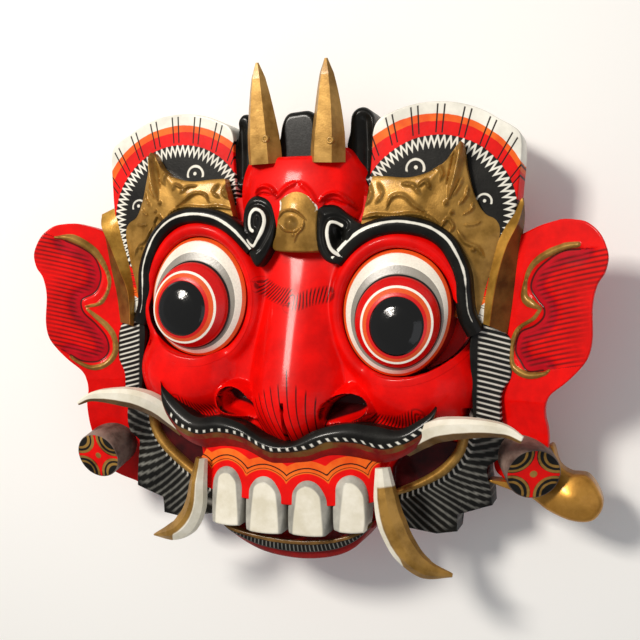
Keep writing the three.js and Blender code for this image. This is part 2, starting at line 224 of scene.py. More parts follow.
def painted(name, ground, *coats):
    """Hand-brushed paint on carved wood: a ground and further coats over parts of it. Clouds of thick
    and thin paint shift each tone, a fine grit breaks up its shine, and the varnish gives it small
    sharp highlights."""
    material = bpy.data.materials.new(name)
    material.use_nodes = True
    tree = material.node_tree
    shader = tree.nodes["Principled BSDF"]
    where = add(tree, "TexCoord").outputs["Object"]
    cloud = add(tree, "TexNoise", {"Vector": where, "Scale": 1 / PATCH, "Detail": 5.0, "Roughness": 0.6})
    grit = add(tree, "TexNoise", {"Vector": where, "Scale": 1 / GRIT, "Detail": 2.0, "Roughness": 0.7})
    both = add(tree, "Mix", {0: 0.45, 2: cloud, 3: grit})
    thick = add(tree, "MapRange", {0: cloud, 1: 0.36, 2: 0.64, 3: 0.0, 4: 1.0})
    stray = add(tree, "MapRange", {0: cloud, 1: 0.3, 2: 0.7, 3: -WANDER, 4: WANDER})
    tone = add(tree, "Mix", {0: thick, 6: colour(ground[0]), 7: colour(ground[1])},
               data_type="RGBA").outputs[2]
    rough, metal, grain = ground[2:]
    for coat in coats:
        share = coverage(tree, coat, stray)
        dark, light, coat_rough, coat_metal, coat_grain = coat["paint"]
        fresh = add(tree, "Mix", {0: thick, 6: colour(dark), 7: colour(light)}, data_type="RGBA").outputs[2]
        tone = add(tree, "Mix", {0: share, 6: tone, 7: fresh}, data_type="RGBA").outputs[2]
        rough = add(tree, "Mix", {0: share, 2: rough, 3: coat_rough})
        grain = add(tree, "Mix", {0: share, 2: grain, 3: coat_grain})
        if metal != coat_metal:
            metal = add(tree, "Mix", {0: share, 2: metal, 3: coat_metal})
    tree.links.new(tone, shader.inputs["Base Color"])
    worn = add(tree, "MapRange", {0: grit, 1: 0.3, 2: 0.7, 3: -0.07, 4: 0.07})
    uneven = add(tree, "Math", {0: rough, 1: worn}, operation="ADD")
    tree.links.new(uneven.outputs[0], shader.inputs["Roughness"])
    if isinstance(metal, float):
        shader.inputs["Metallic"].default_value = metal
    else:
        tree.links.new(metal.outputs[0], shader.inputs["Metallic"])
    shader.inputs["Specular IOR Level"].default_value = SHEEN
    shader.inputs["Coat Weight"].default_value = VARNISH
    shader.inputs["Coat Roughness"].default_value = POLISH
    height = add(tree, "Math", {0: both, 1: grain}, operation="MULTIPLY")
    bump = add(tree, "Bump", {"Height": height, "Strength": 1.0, "Distance": 0.004})
    tree.links.new(bump.outputs[0], shader.inputs["Normal"])
    return material


def line_at(distance, place):
    """Phase of a single line drawn where the distance has the given value, for a pitch of 100 mm."""
    return distance / 100 + 0.5 - place / 100


# ---------------------------------------------------------------- skins
def skin(name, rings, material, node, marks=None, crease=40):
    """Closed mesh through rings of points, rows by around by 3: a quad between each four neighbours and
    a fan to the middle of the first and last ring, wound to face out. marks are kept for the paints."""
    rows, around = rings.shape[:2]
    total = rows * around
    points = np.concatenate([rings.reshape(-1, 3), rings[[0, -1]].mean(axis=1)])
    index = np.arange(total).reshape(rows, around)
    turned = np.roll(index, -1, axis=1)
    quads = np.stack([index[:-1], turned[:-1], turned[1:], index[1:]], axis=-1).reshape(-1, 4)
    first = np.stack([np.full(around, total), turned[0], index[0]], axis=1)
    last = np.stack([np.full(around, total + 1), index[-1], turned[-1]], axis=1)
    fans = np.concatenate([first, last])
    triangles = np.concatenate([quads[:, :3], quads[:, [0, 2, 3]], fans])
    a, b, c = (points[triangles[:, j]] for j in range(3))
    if np.sum(a * np.cross(b, c)) < 0:
        quads, fans = quads[:, ::-1], fans[:, ::-1]
    mesh = bpy.data.meshes.new(name)
    mesh.vertices.add(len(points))
    placed = (points + [0, -MIDDLE, FACE]) / 1000
    mesh.vertices.foreach_set("co", placed.ravel().astype(np.float32))
    corners = np.concatenate([quads.ravel(), fans.ravel()])
    mesh.loops.add(len(corners))
    mesh.loops.foreach_set("vertex_index", corners.astype(np.int32))
    starts = np.concatenate([np.arange(len(quads)) * 4, len(quads) * 4 + np.arange(len(fans)) * 3])
    mesh.polygons.add(len(starts))
    mesh.polygons.foreach_set("loop_start", starts.astype(np.int32))
    for mark, values in (marks or {}).items():
        field = np.broadcast_to(values, (rows, around))
        full = np.concatenate([field.ravel(), field[[0, -1]].mean(axis=1)])
        layer = mesh.attributes.new(mark, "FLOAT", "POINT")
        layer.data.foreach_set("value", full.astype(np.float32))
    mesh.update(calc_edges=True)
    mesh.validate()
    mesh.shade_smooth()
    mesh.set_sharp_from_angle(angle=math.radians(crease))
    mesh.materials.append(material)
    made = bpy.data.objects.new(name, mesh)
    bpy.context.scene.collection.objects.link(made)
    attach(made, "root")
    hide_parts(node)


def on_both_sides(name, rings, material, marks=None):
    """The same carving left and right on the head, following its lean."""
    for side, word in SIDES:
        skin(f"{name}_{word}", leaned(mirrored(rings, side)), material, "mask_body", marks)


def plate(outline, middle, rows, top, floor, edge=1.5):
    """Rings of a flat carving: scaled copies of its outline from the middle out, at height top(x, y)
    less a quarter-round of the edge radius along the outline, then straight down to the floor."""
    t = np.linspace(0, 1, rows + 1)[1:]
    scale = (1.5 * t - 0.5 * t**2)[:, None, None]
    flat = middle + (outline - middle) * scale
    x, y = flat[..., 0], flat[..., 1]
    inset = (1 - scale[..., 0]) * np.linalg.norm(outline - middle, axis=1)
    q = np.clip(1 - inset / edge, 0, 1)
    h = top(x, y) - edge * (1 - np.sqrt(1 - q**2))
    upper = np.dstack([x, y, h])
    wall = upper[-1:].repeat(2, axis=0)
    wall[0, :, 2] = 0.3 * wall[0, :, 2] + 0.7 * floor
    wall[1, :, 2] = floor
    return np.concatenate([upper, wall])


def sweep(path, widths, heights, section, steps):
    """Rings of a section carried along a curve, its sides across the curve and its top away from the
    back: widths and heights, given at even stations, scale it."""
    line = curve(path, steps)
    ahead = np.gradient(line, axis=0)
    ahead /= np.linalg.norm(ahead, axis=1)[:, None]
    side = np.cross(ahead, [0, 0, 1.0])
    side /= np.linalg.norm(side, axis=1)[:, None]
    lift = np.cross(side, ahead)
    w, h = spread(widths, steps)[:, None, None], spread(heights, steps)[:, None, None]
    across = side[:, None] * section[None, :, :1] * w
    upward = lift[:, None] * section[None, :, 1:] * h
    return line[:, None] + across + upward


def loft(rails, steps, across):
    """Rings between rails, which are curves of (x, y, h): at each step along them, straight lines join
    the rails in turn and back to the first, with across points from one to the next."""
    lines = np.stack([curve(rail, steps) for rail in rails])
    following = np.roll(lines, -1, axis=0)
    t = (np.arange(across) / across)[None, :, None, None]
    rings = lines[:, None] * (1 - t) + following[:, None] * t
    return rings.reshape(-1, steps, 3).transpose(1, 0, 2)


def round_section(count, flat=0.0):
    """A half-round section: a half circle over the top and a straight base at height -flat."""
    turn = np.linspace(0, math.pi, count)
    arch = np.stack([np.cos(turn), np.sin(turn)], axis=1)
    return np.concatenate([arch, [[-1, -flat], [1, -flat]]])


def cut_section(corners, steps):
    """A section with flat sides: straight lines between the corners, each in that many steps."""
    corner = np.array(corners, float)
    t = (np.arange(steps) / steps)[None, :, None]
    return (corner[:, None] * (1 - t) + np.roll(corner, -1, axis=0)[:, None] * t).reshape(-1, 2)


def stamped(x, y, strokes):
    """Relief of carved strokes and beads: each stroke rises by its height times cos^2 of the distance
    over its half width, tapering to its ends, and where strokes meet the highest counts."""
    relief = np.zeros(np.shape(x))
    for points, half, height in strokes:
        if len(points) == 1:
            gap = np.hypot(x - points[0][0], y - points[0][1]) / half
            taper = 1.0
        else:
            line = curve(points, 16)
            d, run = drawn(line, x, y)
            long = length(line)
            taper = np.clip(np.minimum(run, long - run) / (0.25 * long) + 0.35, 0, 1)
            gap = np.abs(d) / (half * taper)
        bump = height * taper * np.cos(np.clip(gap, 0, 1) * math.pi / 2) ** 2
        relief = np.where(np.abs(bump) > np.abs(relief), bump, relief)
    return relief


# ---------------------------------------------------------------- the head
def oval(across, down, around):
    """The head's outline: a superellipse about the middle of the head."""
    turn = np.linspace(0, 2 * math.pi, around, endpoint=False)
    c, s = np.cos(turn), np.sin(turn)
    power = 2 / HEAD["squareness"]
    x = across * np.sign(c) * np.abs(c) ** power
    y = HEAD["y"] + down * np.sign(s) * np.abs(s) ** power
    return np.stack([x, y], axis=1)


def swell(x, y, middle, radii, foot, top, power=3):
    """A rounded mound: foot plus the rise times 1 - q^power, where q is the elliptical distance."""
    q = np.hypot((x - middle[0]) / radii[0], (y - middle[1]) / radii[1])
    return foot + (top - foot) * (1 - np.minimum(q, 1.3) ** power)


# Down the middle of the nose: y, height of the ridge and half the nose's width
NOSE = curve([(62, -8, 20), (44, -5, 23), (28, -1.5, 26), (12, 3, 28), (-4, 7.5, 30), (-20, 11.5, 32),
              (-36, 15.5, 34), (-48, 18, 35), (-57, 18, 34), (-65, 15, 30), (-73, 9, 23), (-80, 1, 14),
              (-86, -8, 8)], 60)
NOSTRILS = [
    [(-49.5, -52), (-47.5, -47.5), (-42, -45), (-35, -46.5), (-29.5, -51.5), (-25.5, -58), (-24, -66),
     (-34.5, -63), (-46, -59.5)],
    [(22, -63), (22.5, -55), (28.5, -48.5), (38, -45.3), (47, -47), (50.5, -53), (46.5, -59.5), (36, -63.5),
     (26, -66.5)],
]
# Hollows at the corners of the mouth
CORNERS = [
    [(-108, -70), (-92, -71), (-79, -80), (-68, -88), (-66, -112), (-84, -102), (-100, -88)],
    [(62, -112), (63, -92), (68, -84), (80, -78), (98, -72), (106, -74), (98, -90), (82, -103)],
]
# Where the face ends above the beard, on either side
MOUTH_RIM = [(107.5, -58), (107.5, -70), (104.5, -80), (97, -90), (86, -98.5), (74, -105.5), (62, -111)]


def around_eye(x, y):
    """For points of the face: mm outside the eye's rim ellipse and the angle about it, 0 towards the
    temple and 90 at the top, for either eye."""
    u, v = np.abs(x) - EYE[0], y - rise(x, y) - EYE[1]
    return (np.hypot(u / EYE_RIM[0], v / EYE_RIM[1]) - 1) * EYE_SIZE, np.degrees(np.arctan2(v, u))


def face_form(x, y):
    """The carved face: a block that drops off towards its outline, with a cheek mound, a nose of
    rounded section and its wings joined to it by soft maxima, and a rolled lid around each eye."""
    v = y - rise(x, y)
    u = np.abs(x)
    power = HEAD["squareness"]
    reach = (u / HEAD["across"]) ** power + (np.abs(y - HEAD["y"]) / HEAD["down"]) ** power
    h = -6 - 21 * reach ** (8 / power)
    h = soft_max(h, swell(u, v, (76.5, -36), (41, 34), -16, 9), 3)
    gap, turn = around_eye(x, y)
    bearing = np.radians(turn)
    lid = 1.75 + 2.75 * np.sin(bearing) - 1.5 * np.cos(bearing) - 2.25 * np.cos(bearing) ** 2
    h = soft_max(h, lid - 9 * ((gap - 4.5) / 7.5) ** 2, 3)
    ridge = np.interp(-y, -NOSE[:, 0], NOSE[:, 1])
    half = np.interp(-y, -NOSE[:, 0], NOSE[:, 2])
    off = np.abs(x - 1.5)
    bridge = -9 + (ridge + 9) * (1 - np.minimum(off / half, 1.4) ** 2.2)
    left_wing = swell(x, y, (-40, -54), (17.5, 15), -10, 11)
    right_wing = swell(x, y, (39.5, -53), (17.5, 15.5), -10, 11)
    return soft_max(soft_max(h, bridge, 2), np.maximum(left_wing, right_wing), 0.8)


def socket_gap(turn, side):
    """How far the socket's edge stands off the eye: nothing but below the temple, where the cheek's
    upper rim leaves a recess. It is narrow on the left."""
    gap = np.interp(turn, [-92, -78, -64, -50, -34, -20, -8, 2, 10], [0, 0.4, 2, 5, 9.5, 13, 12, 4, 0])
    return gap * np.where(np.asarray(side) > 0, 1.0, 0.3)


def face_height(x, y):
    """The face with its hollows: eye sockets and a step down outside the mouth, where other carvings
    stand, nostrils with sloping floors, and the corners of the mouth."""
    h = face_form(x, y)
    for outline in NOSTRILS:
        deep = -12 + 13 * ease(-52, -66, y)
        h -= (h - deep) * ease(-0.8, 1.6, inside(curve(outline, 40, closed=True), x, y))
    gap, turn = around_eye(x, y)
    h -= (h + 18) * (1 - ease(0.6, 3.0, gap - socket_gap(turn, x)))
    for outline in CORNERS:
        h -= (h + 17) * ease(-2, 1.5, inside(np.array(outline, float), x, y))
    cheeks = np.array([(0, -30), (107.5, -30)] + MOUTH_RIM + [(40, -125), (0, -125)], float)
    beyond = -inside(cheeks, np.abs(x), y - rise(x, y))
    return h - (h + 27) * ease(-1, 1, beyond) * (y < -52)


def face_pen(x, y):
    """Pen strokes on the face: for each group (its line, pitch, half length of a stroke and slant) the
    phase that counts its strokes and how far inside the group a point is. Glabella and whisker groups run
    across a short line; the nose's fan is drawn from lines 6 mm apart at its top that close in towards
    the lip."""
    fall = (-40 - y) / 27
    fan = (x - 4 * fall) / (1 - 0.27 * np.clip(fall, -1, 2)) / 6 + 0.08
    top = -41 - 0.016 * (x - 2.5) ** 2 - 0.25 * np.maximum(0, x - 10)
    top += 12 * np.exp(-(((x - 2.5) / 3.0) ** 2))
    fan_area = np.minimum((top - y) * 0.12, 27 - np.abs(x - 1))
    area, phase = np.full(x.shape, NOWHERE), np.zeros(x.shape)
    groups = [
        ([(-23.5, 21.5), (-17, 18), (-9, 15), (-1, 14)], 2.2, 5.0, -0.5),
        ([(23.5, 16.5), (13, 14.5), (6, 11.5), (-1, 9.5)], 2.2, 4.8, -0.35),
        ([(-80, -56), (-70, -61.5), (-56, -63)], 2.4, 4.5, 0.7),
        ([(52, -62), (62, -63), (72, -62), (82, -57)], 2.4, 5.0, -0.7),
    ]
    for points, pitch, half, slant in groups:
        line = curve(points, 12)
        d, run = drawn(line, x, y)
        long = length(line)
        near = np.minimum((half - np.abs(d)) * 0.25, np.minimum(run, long - run) + 0.1)
        closer = near > area
        phase = np.where(closer, (run + slant * d) / pitch, phase)
        area = np.where(closer, near, area)
    return phase, area, fan, fan_area


def face_paint():
    """Red face: maroon painted shade in its hollows, pen strokes, and bare wood behind."""
    return painted(
        "red enamel on carved wood", RED,
        {"paint": MAROON, "area": "shade", "soft": 0.5},
        {"paint": INK, "phase": "pen", "pitch": 2.2, "width": 0.85, "area": "pen_area", "soft": 0.3},
        {"paint": INK, "phase": "fan", "pitch": 5.2, "width": 0.75, "area": "fan_area", "soft": 0.25},
        {"paint": INK, "area": "edge"},
        {"paint": WOOD, "area": "bare", "soft": 0.4},
    )


def head(material):
    """The hollow head: rings from the nose out over the face, down the side, round the back rim and up
    the hollow, whose roof falls as sqrt(1 - r^3)."""
    around, rows, nose = 440, 150, np.array([0.0, -40.0])
    edge = oval(HEAD["across"], HEAD["down"], around)
    t = np.linspace(0, 1, rows + 1)[1:, None, None]
    flat = nose + (edge - nose) * t
    face = np.dstack([flat, face_height(flat[..., 0], flat[..., 1])])
    levels = np.array([-34, -50, -66, 0.6 - FACE, -FACE])
    tuck = np.array([1, 1, 1, 1, 0.994])
    middle = np.array([0, HEAD["y"]])
    side = middle + (edge - middle) * tuck[:, None, None]
    side = np.dstack([side, np.broadcast_to(levels[:, None], side.shape[:2])])
    inner = oval(HOLLOW["across"], HOLLOW["down"], around)
    r = np.cos(np.linspace(0, 0.49 * math.pi, 24))
    roof = middle + (inner - middle) * r[:, None, None]
    ceiling = (HOLLOW["depth"] * np.sqrt(1 - r**3) - FACE)[:, None]
    roof = np.dstack([roof, np.broadcast_to(ceiling, roof.shape[:2])])
    rings = np.concatenate([face, side, roof])
    x, y = rings[..., 0], rings[..., 1]
    back = np.full(x.shape, -3.0)
    back[rows + 4 :] = 3.0
    back[rows + 3] = 0.2
    pen, pen_area, fan, fan_area = face_pen(x, y)
    # Painted shade in maroon: in the corner hollows of the mouth, and a painted shadow over the upper part
    # of each nostril that leaves a lit red crescent below
    shade = np.maximum(*(inside(np.array(corner, float), x, y) for corner in CORNERS))
    line = np.full(x.shape, NOWHERE)
    for outline, shift in zip(NOSTRILS, ((1, 6.5), (-2, 3.5))):
        shape = curve(outline, 40, closed=True)
        within = inside(shape, x, y)
        dark = np.minimum(within - 0.8, inside(shape + shift, x, y))
        shade = np.maximum(shade, dark)
        line = np.maximum(line, np.minimum(0.42 - np.abs(within + 0.2), (y + 62) * 0.2))
    for mark in (pen_area, fan_area, shade, line):
        mark[rows:] = NOWHERE
    marks = {"bare": back, "pen": pen, "pen_area": pen_area, "fan": fan, "fan_area": fan_area,
             "shade": shade, "edge": line}
    skin("head_shell", rings, material, "mask_body", marks)


def rim_places(gap, bearing, side, share=1.0):
    """Points gap mm outside the eye's rim ellipse, or a share of the way out to there, leaned."""
    grown = (1 + gap / EYE_SIZE) * share
    x = EYE[0] + EYE_RIM[0] * grown * np.cos(bearing)
    v = EYE[1] + EYE_RIM[1] * grown * np.sin(bearing)
    return leaned(np.stack([side * x, v], axis=1))


def sockets(material):
    """The rim around each eye: it lies flush on the face, turns over a small round at the socket's
    edge and drops to a floor under the eye."""
    band, rungs = 5.5, 16
    turn = np.linspace(0, 360, 260, endpoint=False) - 180
    bearing = np.radians(turn)
    for side, word in SIDES:
        inner = socket_gap(turn, side)
        rings = []
        for step in np.linspace(0, 1, rungs):
            out = band * (1 - step)
            place = rim_places(inner + out, bearing, side)
            form = face_form(place[:, 0], place[:, 1])
            turned = max(0.0, 1 - out / 1.3)
            round_off = 1.2 * (1 - math.sqrt(1 - turned**2))
            rings.append(np.column_stack([place, form + 0.25 - 1.2 * (step == 0) - round_off]))
        for share, level in ((1.0, -8), (1.0, -17), (0.9, -19), (0.4, -19)):
            place = rim_places(inner, bearing, side, share)
            rings.append(np.column_stack([place, np.full(len(turn), level)]))
        foot = rings[0].copy()
        foot[:, 2] = -26
        rings = np.array([foot] + rings)
        none = np.full(rings.shape[:2], NOWHERE)
        marks = {name: none for name in ("bare", "pen", "pen_area", "fan", "fan_area", "edge")}
        # Maroon painted shade on the socket's sunken wall and floor
        sunk = (np.arange(len(rings)) >= rungs - 1)[:, None]
        marks["shade"] = np.where(sunk, -2 - rings[..., 2], -10.0)
        skin(f"eye_socket_{word}", rings, material, "mask_body", marks)


# ---------------------------------------------------------------- eyes
# Nested ellipses from the eye's rim to the top of its pupil: middle, radii and height
EYE_RINGS = [
    (67, 9.5, 33, 38, -22), (67, 9.5, 34.6, 39.6, -22), (67, 9.5, 34.6, 39.6, -5), (67, 9.5, 34, 39, -1.2),
    (67.2, 9.2, 32.2, 37.2, 0.6), (68.2, 6.6, 29.2, 32.2, 3), (69, 4.4, 27.2, 28.6, 4),
    (69.1, 4.2, 26.6, 27.9, 4.6), (69.4, 3.8, 26.2, 27.2, 7.5), (70.5, 2.6, 22.6, 23.6, 12.4),
    (70.6, 2.5, 21.2, 22.2, 13), (71, 2.1, 18.8, 19.8, 14.4), (71.2, 1.8, 16.8, 17.8, 15.2),
    (71.3, 1.7, 15.6, 16.6, 16.4), (71.3, 1.7, 11, 12, 18.6), (71.3, 1.7, 5, 6, 19.8),
    (71.3, 1.7, 0.6, 0.7, 20),
]
# Where each paint of the eye starts, counted in those ellipses
EYE_PAINTS = [(0, "#8d0c08"), (3, "#e4561c"), (4, "#eee9da"), (5, "#8f8a80"), (6, "#141210"),
              (7.3, "#d80906"), (9, "#f3efe2"), (10, "#e8571c"), (11, "#d80906"), (12, "#0c0c0b")]


def eye_paint():
    """Glossy enamel in rings: a stepped ramp along the ring mark, the pupil like wet glass."""
    material = bpy.data.materials.new("ringed eye enamel")
    material.use_nodes = True
    tree = material.node_tree
    shader = tree.nodes["Principled BSDF"]
    where = add(tree, "TexCoord").outputs["Object"]
    cloud = add(tree, "TexNoise", {"Vector": where, "Scale": 1 / PATCH, "Detail": 4.0})
    grit = add(tree, "TexNoise", {"Vector": where, "Scale": 1 / GRIT, "Detail": 2.0})
    ring = add(tree, "Attribute", attribute_name="ring").outputs["Fac"]
    share = add(tree, "Math", {0: ring, 1: 1 / len(EYE_RINGS)}, operation="MULTIPLY")
    ramp = add(tree, "ValToRGB", {0: share})
    ramp.color_ramp.interpolation = "CONSTANT"
    stops = ramp.color_ramp.elements
    while len(stops) < len(EYE_PAINTS):
        stops.new(0.5)
    for stop, (start, hexed) in zip(stops, EYE_PAINTS):
        stop.position = start / len(EYE_RINGS)
        stop.color = colour(hexed)
    both = add(tree, "Mix", {0: 0.5, 2: cloud, 3: grit})
    dim = add(tree, "MapRange", {0: both, 1: 0.3, 2: 0.7, 3: 0.80, 4: 1.06})
    tone = add(tree, "Mix", {0: 1.0, 6: ramp.outputs[0], 7: dim}, data_type="RGBA", blend_type="MULTIPLY")
    tree.links.new(tone.outputs[2], shader.inputs["Base Color"])
    rough = add(tree, "MapRange", {0: ring, 1: 11.9, 2: 12.1, 3: 0.3, 4: 0.12})
    tree.links.new(rough.outputs[0], shader.inputs["Roughness"])
    bump = add(tree, "Bump", {"Height": both, "Strength": 0.25, "Distance": 0.0005})
    tree.links.new(bump.outputs[0], shader.inputs["Normal"])
    return material


def eyes():
    """Each bulging eye: ellipses joined in turn, with the rim at its foot and the pupil's dome on top,
    held in from the back by a closed foot."""
    material = eye_paint()
    turn = np.linspace(0, 2 * math.pi, 160, endpoint=False)
    stations = np.array(EYE_RINGS, float)
    count = (len(stations) - 1) * 5 + 1
    at = np.linspace(0, len(stations) - 1, count)
    cx, cy, rx, ry, h = (np.interp(at, np.arange(len(stations)), stations[:, j])[:, None] for j in range(5))
    for side, word in SIDES:
        x = cx + rx * np.cos(turn)
        y = cy + ry * np.sin(turn)
        rings = leaned(mirrored(np.dstack([x, y, np.broadcast_to(h, x.shape)]), side))
        ring = np.broadcast_to(at[:, None], x.shape)
        skin(f"eye_{word}", rings, material, "mask_body", {"ring": ring}, crease=50)


# ---------------------------------------------------------------- brows and volutes
BROW = [(28, 41, 1), (40, 53, 2), (52, 60, 2.5), (68, 62.8, 2.5), (84, 60, 1.5), (96, 52, 0), (103, 41, -1),
        (107, 30, -2.5), (108, 18, -4), (109.5, 6, -6), (114.5, -5, -9)]


def brows():
    """Each black eyebrow: a half-round carried over the eye, with a white line drawn along it."""
    section, steps = round_section(22, 1.6), 150
    widths = [5.2, 5.6, 5.4, 5.2, 5.2, 5.6, 5.6]
    rings = sweep(BROW, widths, [4.5, 5, 5, 5, 4.5, 4.5, 4], section, steps)
    across = section[None, :, 0] * spread(widths, steps)[:, None]
    half = spread([0.9, 0.9, 0.8, 0.8, 0.7, 0.35, 0.25], steps)[:, None]
    for side, word, off in ((-1, "left", -0.3), (1, "right", -1.8)):
        white = np.where(section[None, :, 1] > 0, half - np.abs(across - off), -3)
        white[-8:] = -3
        material = painted(f"black enamel brow {word}", BLACK, {"paint": WHITE, "area": "white"})
        skin(f"brow_{word}", leaned(mirrored(rings, side)), material, "mask_body",
             {"white": white})


VOLUTES = {
    "left": {
        "outline": [(-34, 64), (-32.5, 71.5), (-29, 76.6), (-24, 78.2), (-15.5, 76.3), (-11.5, 71),
                    (-10.5, 60), (-13, 48), (-19, 37), (-24, 33), (-28, 38), (-31.5, 46), (-33.5, 55)],
        "line": [(-25.6, 55.6), (-27.4, 57), (-28.2, 61.6), (-27.1, 66.6), (-23.5, 69.3), (-19.2, 67.2),
                 (-17.6, 62.3), (-18.9, 56.4), (-22.3, 49.7), (-25.5, 46), (-30.4, 49.8)],
        "middle": (-22, 58),
        "pit": None,
    },
    "right": {
        "outline": [(15.6, 62), (16.5, 70), (22.5, 72.2), (29.5, 71), (35, 66.5), (41, 62), (46, 58),
                    (42, 48), (36, 39), (29, 35), (21, 38), (16.2, 47)],
        "line": [(33.5, 58.6), (29.5, 60.6), (26, 60.2), (24.3, 55.3), (25.1, 48.8), (27.8, 43.2),
                 (33.5, 39.6)],
        "middle": (28, 54),
        "pit": (31.5, 51),
    },
}


def volutes():
    """The brows' scrolled inner ends: domed lobes, one with a deep eye, each with a white curl."""
    for word, lobe in VOLUTES.items():
        outline = curve(lobe["outline"], 150, closed=True)
        curl = curve(lobe["line"], 40)
        pit = lobe["pit"]

        def top(x, y):
            h = 8.5 - 4 * ease(0, 12, 10 - inside(outline, x, y))
            d = np.abs(drawn(curl, x, y)[0])
            h -= 1.6 * np.exp(-(((d - 3.2) / 1.6) ** 2))
            if pit:
                h -= 9 * np.exp(-(((x - pit[0]) / 3.4) ** 2) - ((y - pit[1]) / 6.0) ** 2)
            return h

        rings = plate(outline, np.array(lobe["middle"]), 46, top, -14, 2.5)
        x, y = rings[..., 0], rings[..., 1]
        white = 0.95 - np.abs(drawn(curl, x, y)[0])
        material = painted(f"black enamel volute {word}", BLACK, {"paint": WHITE, "area": "white"})
        skin(f"volute_{word}", rings, material, "mask_body", {"white": white})


# ---------------------------------------------------------------- crown
def crown():
    """The two fan panels behind the brows: black middles edged with a white zigzag, then bands of red,
    orange and white along arcs, crossed by double pen lines that spread from a point below."""
    top = [(51, 125.5), (60, 130.2), (70, 133.3), (80, 134.8), (92, 134.8), (104, 132.8), (116, 128.4),
           (126, 122.5)]
    outline = [(40, 40), (45, 80), (47, 105), (47.5, 118)] + top
    outline += [(133, 118.5), (138, 114), (139.4, 106), (138.5, 88), (136, 66), (128, 40), (118, 0),
                (60, 30)]
    material = painted(
        "fan enamel on board", BLACK,
        {"paint": RED, "area": "red"},
        {"paint": ORANGE, "area": "orange"},
        {"paint": WHITE, "area": "white"},
        {"paint": WHITE, "phase": "comb", "zigzag": ("depth", 6.0), "pitch": 4.1, "width": 1.2,
         "area": "comb_area"},
        {"paint": WHITE, "area": "curl"},
        {"paint": INK, "phase": "spokes", "pitch": 14.5, "twin": 1.9, "width": 0.9, "area": "spoke_area"},
    )
    for side, word in SIDES:
        edge = curve(outline, 300, closed=True)
        rings = plate(edge, np.array([90.0, 72.0]), 70, lambda x, y: -10 + 0 * x, -36, 1.0)
        x, y = rings[..., 0], rings[..., 1]
        r = np.hypot(x - CROWN[0], y - CROWN[1])
        grow = 0.045 * (x - CROWN[0]) if side > 0 else 0 * x
        turn = np.degrees(np.arctan2(y - 22, x - 83))
        comb = np.degrees(np.arctan2(y - CROWN[1], x - CROWN[0]))
        foot = CROWN_ARCS[0] - 0.5 + grow - r
        curl = np.full(x.shape, NOWHERE)
        for cx, cy, size in ((75, 94.5, 5.6), (117.5, 73.5, 4.6)):
            gap = np.hypot(x - cx, y - cy)
            arc = 0.75 - np.abs(gap - size)
            arc = np.where(y > cy - 0.35 * size, arc, -1)
            curl = np.maximum(curl, np.maximum(arc, 1.2 - np.hypot(x - cx - 0.4, y - cy - 0.6)))
        marks = {
            "red": r - CROWN_ARCS[0] - grow,
            "orange": r - CROWN_ARCS[1] - grow * 0.3,
            "white": r - CROWN_ARCS[2] + grow * 0.3,
            "depth": foot,
            "comb": comb / 4.7,
            "comb_area": np.minimum(7.6 - foot, 0.5 + foot),
            "curl": curl,
            "spokes": turn / 8.7 + 0.6,
            "spoke_area": np.minimum(r - 51, 68.5 - r),
        }
        skin(f"crown_fan_{word}", leaned(mirrored(rings, side)), material, "mask_body", marks)


# Gold layer: pairs of points across it, brow side first, from the nose to the temple
GOLD_INNER = [(40, 49, -3), (52, 55, -3), (62, 58, -2), (72, 58.5, -2), (80, 56, -2), (88, 51, -2.5),
              (94, 43, -3), (98, 34, -4), (102, 25, -6), (105, 15, -8), (108, 5, -9), (111, -4, -11)]
GOLD_OUTER = [(50, 90, -3), (59, 89.5, -2), (73, 88.5, -1.5), (86, 91.5, -1.5), (96, 98, -2),
              (104.5, 109, -4), (108, 92, -4), (112.5, 77, -6), (119, 66, -9), (131, 60, -12),
              (133, 45, -14), (130, 28, -15), (126, 10, -16), (122, -2, -17)]
# Strokes and beads carved on it: their points, half width and height
PETALS = [
    ([(42, 66), (52, 68.5), (64, 68), (76, 69), (86, 66.5), (93, 61.5)], 2.0, 2.4),
    ([(94, 60), (97.5, 64.5), (101, 60), (99, 56)], 1.5, 2.2),
    ([(60, 72), (63, 78), (70, 79), (77, 74), (84, 69.5)], 1.8, 2.4),
    ([(88, 92), (91, 95), (94, 90), (92.5, 86.5)], 2.0, 2.2),
    ([(79, 83), (84, 86), (87, 81.5)], 1.8, 2.0),
    ([(69, 85), (76, 84), (81, 79)], 1.6, 1.8),
    ([(96.5, 73.5)], 2.1, 2.6),
    ([(100, 68)], 1.9, 2.4),
    ([(100, 77), (104, 83), (106, 88)], 1.8, 2.0),
    ([(104, 72), (108, 77), (109, 83)], 1.6, 1.8),
    ([(106, 66), (111, 69), (112, 73)], 1.5, 1.8),
    ([(107, 60), (113, 60), (117, 62)], 1.5, 1.6),
    ([(103, 58), (108, 50), (115, 46), (119, 40)], 2.0, 2.2),
    ([(112.5, 45)], 2.0, 2.6),
    ([(107, 38), (111, 30), (112, 18), (114, 6)], 1.6, 1.6),
    ([(46, 88), (50, 80), (46, 74)], 1.8, 1.6),
    ([(54, 86), (57, 80), (53, 75)], 1.6, 1.6),
    ([(104.6, 110), (103.5, 98), (101, 86), (98, 76)], 3.2, 5.0),
    ([(100.5, 103), (98.5, 94), (96.5, 84)], 1.0, -1.6),
]


def gold_layers():
    """The carved gold leaf between each brow and fan: straight lines between an inner and an outer
    curve, with petals, beads and the ridge up to its peak stamped into it."""
    material = painted("brushed gold paint", GOLD)
    inner, outer = curve(GOLD_INNER, 210), curve(GOLD_OUTER, 210)
    t = np.linspace(0, 1, 70)[None, :, None]
    top = inner[:, None] * (1 - t) + outer[:, None] * t
    x, y = top[..., 0], top[..., 1]
    puff = 2.2 * np.sin(math.pi * t[..., 0]) ** 0.6
    top = np.dstack([x, y, top[..., 2] + puff + stamped(x, y, PETALS)])
    foot = np.stack([outer, inner], axis=1)
    foot[..., 2] = -24
    rings = np.concatenate([top, foot], axis=1)
    on_both_sides("gold_leaf", rings, material)


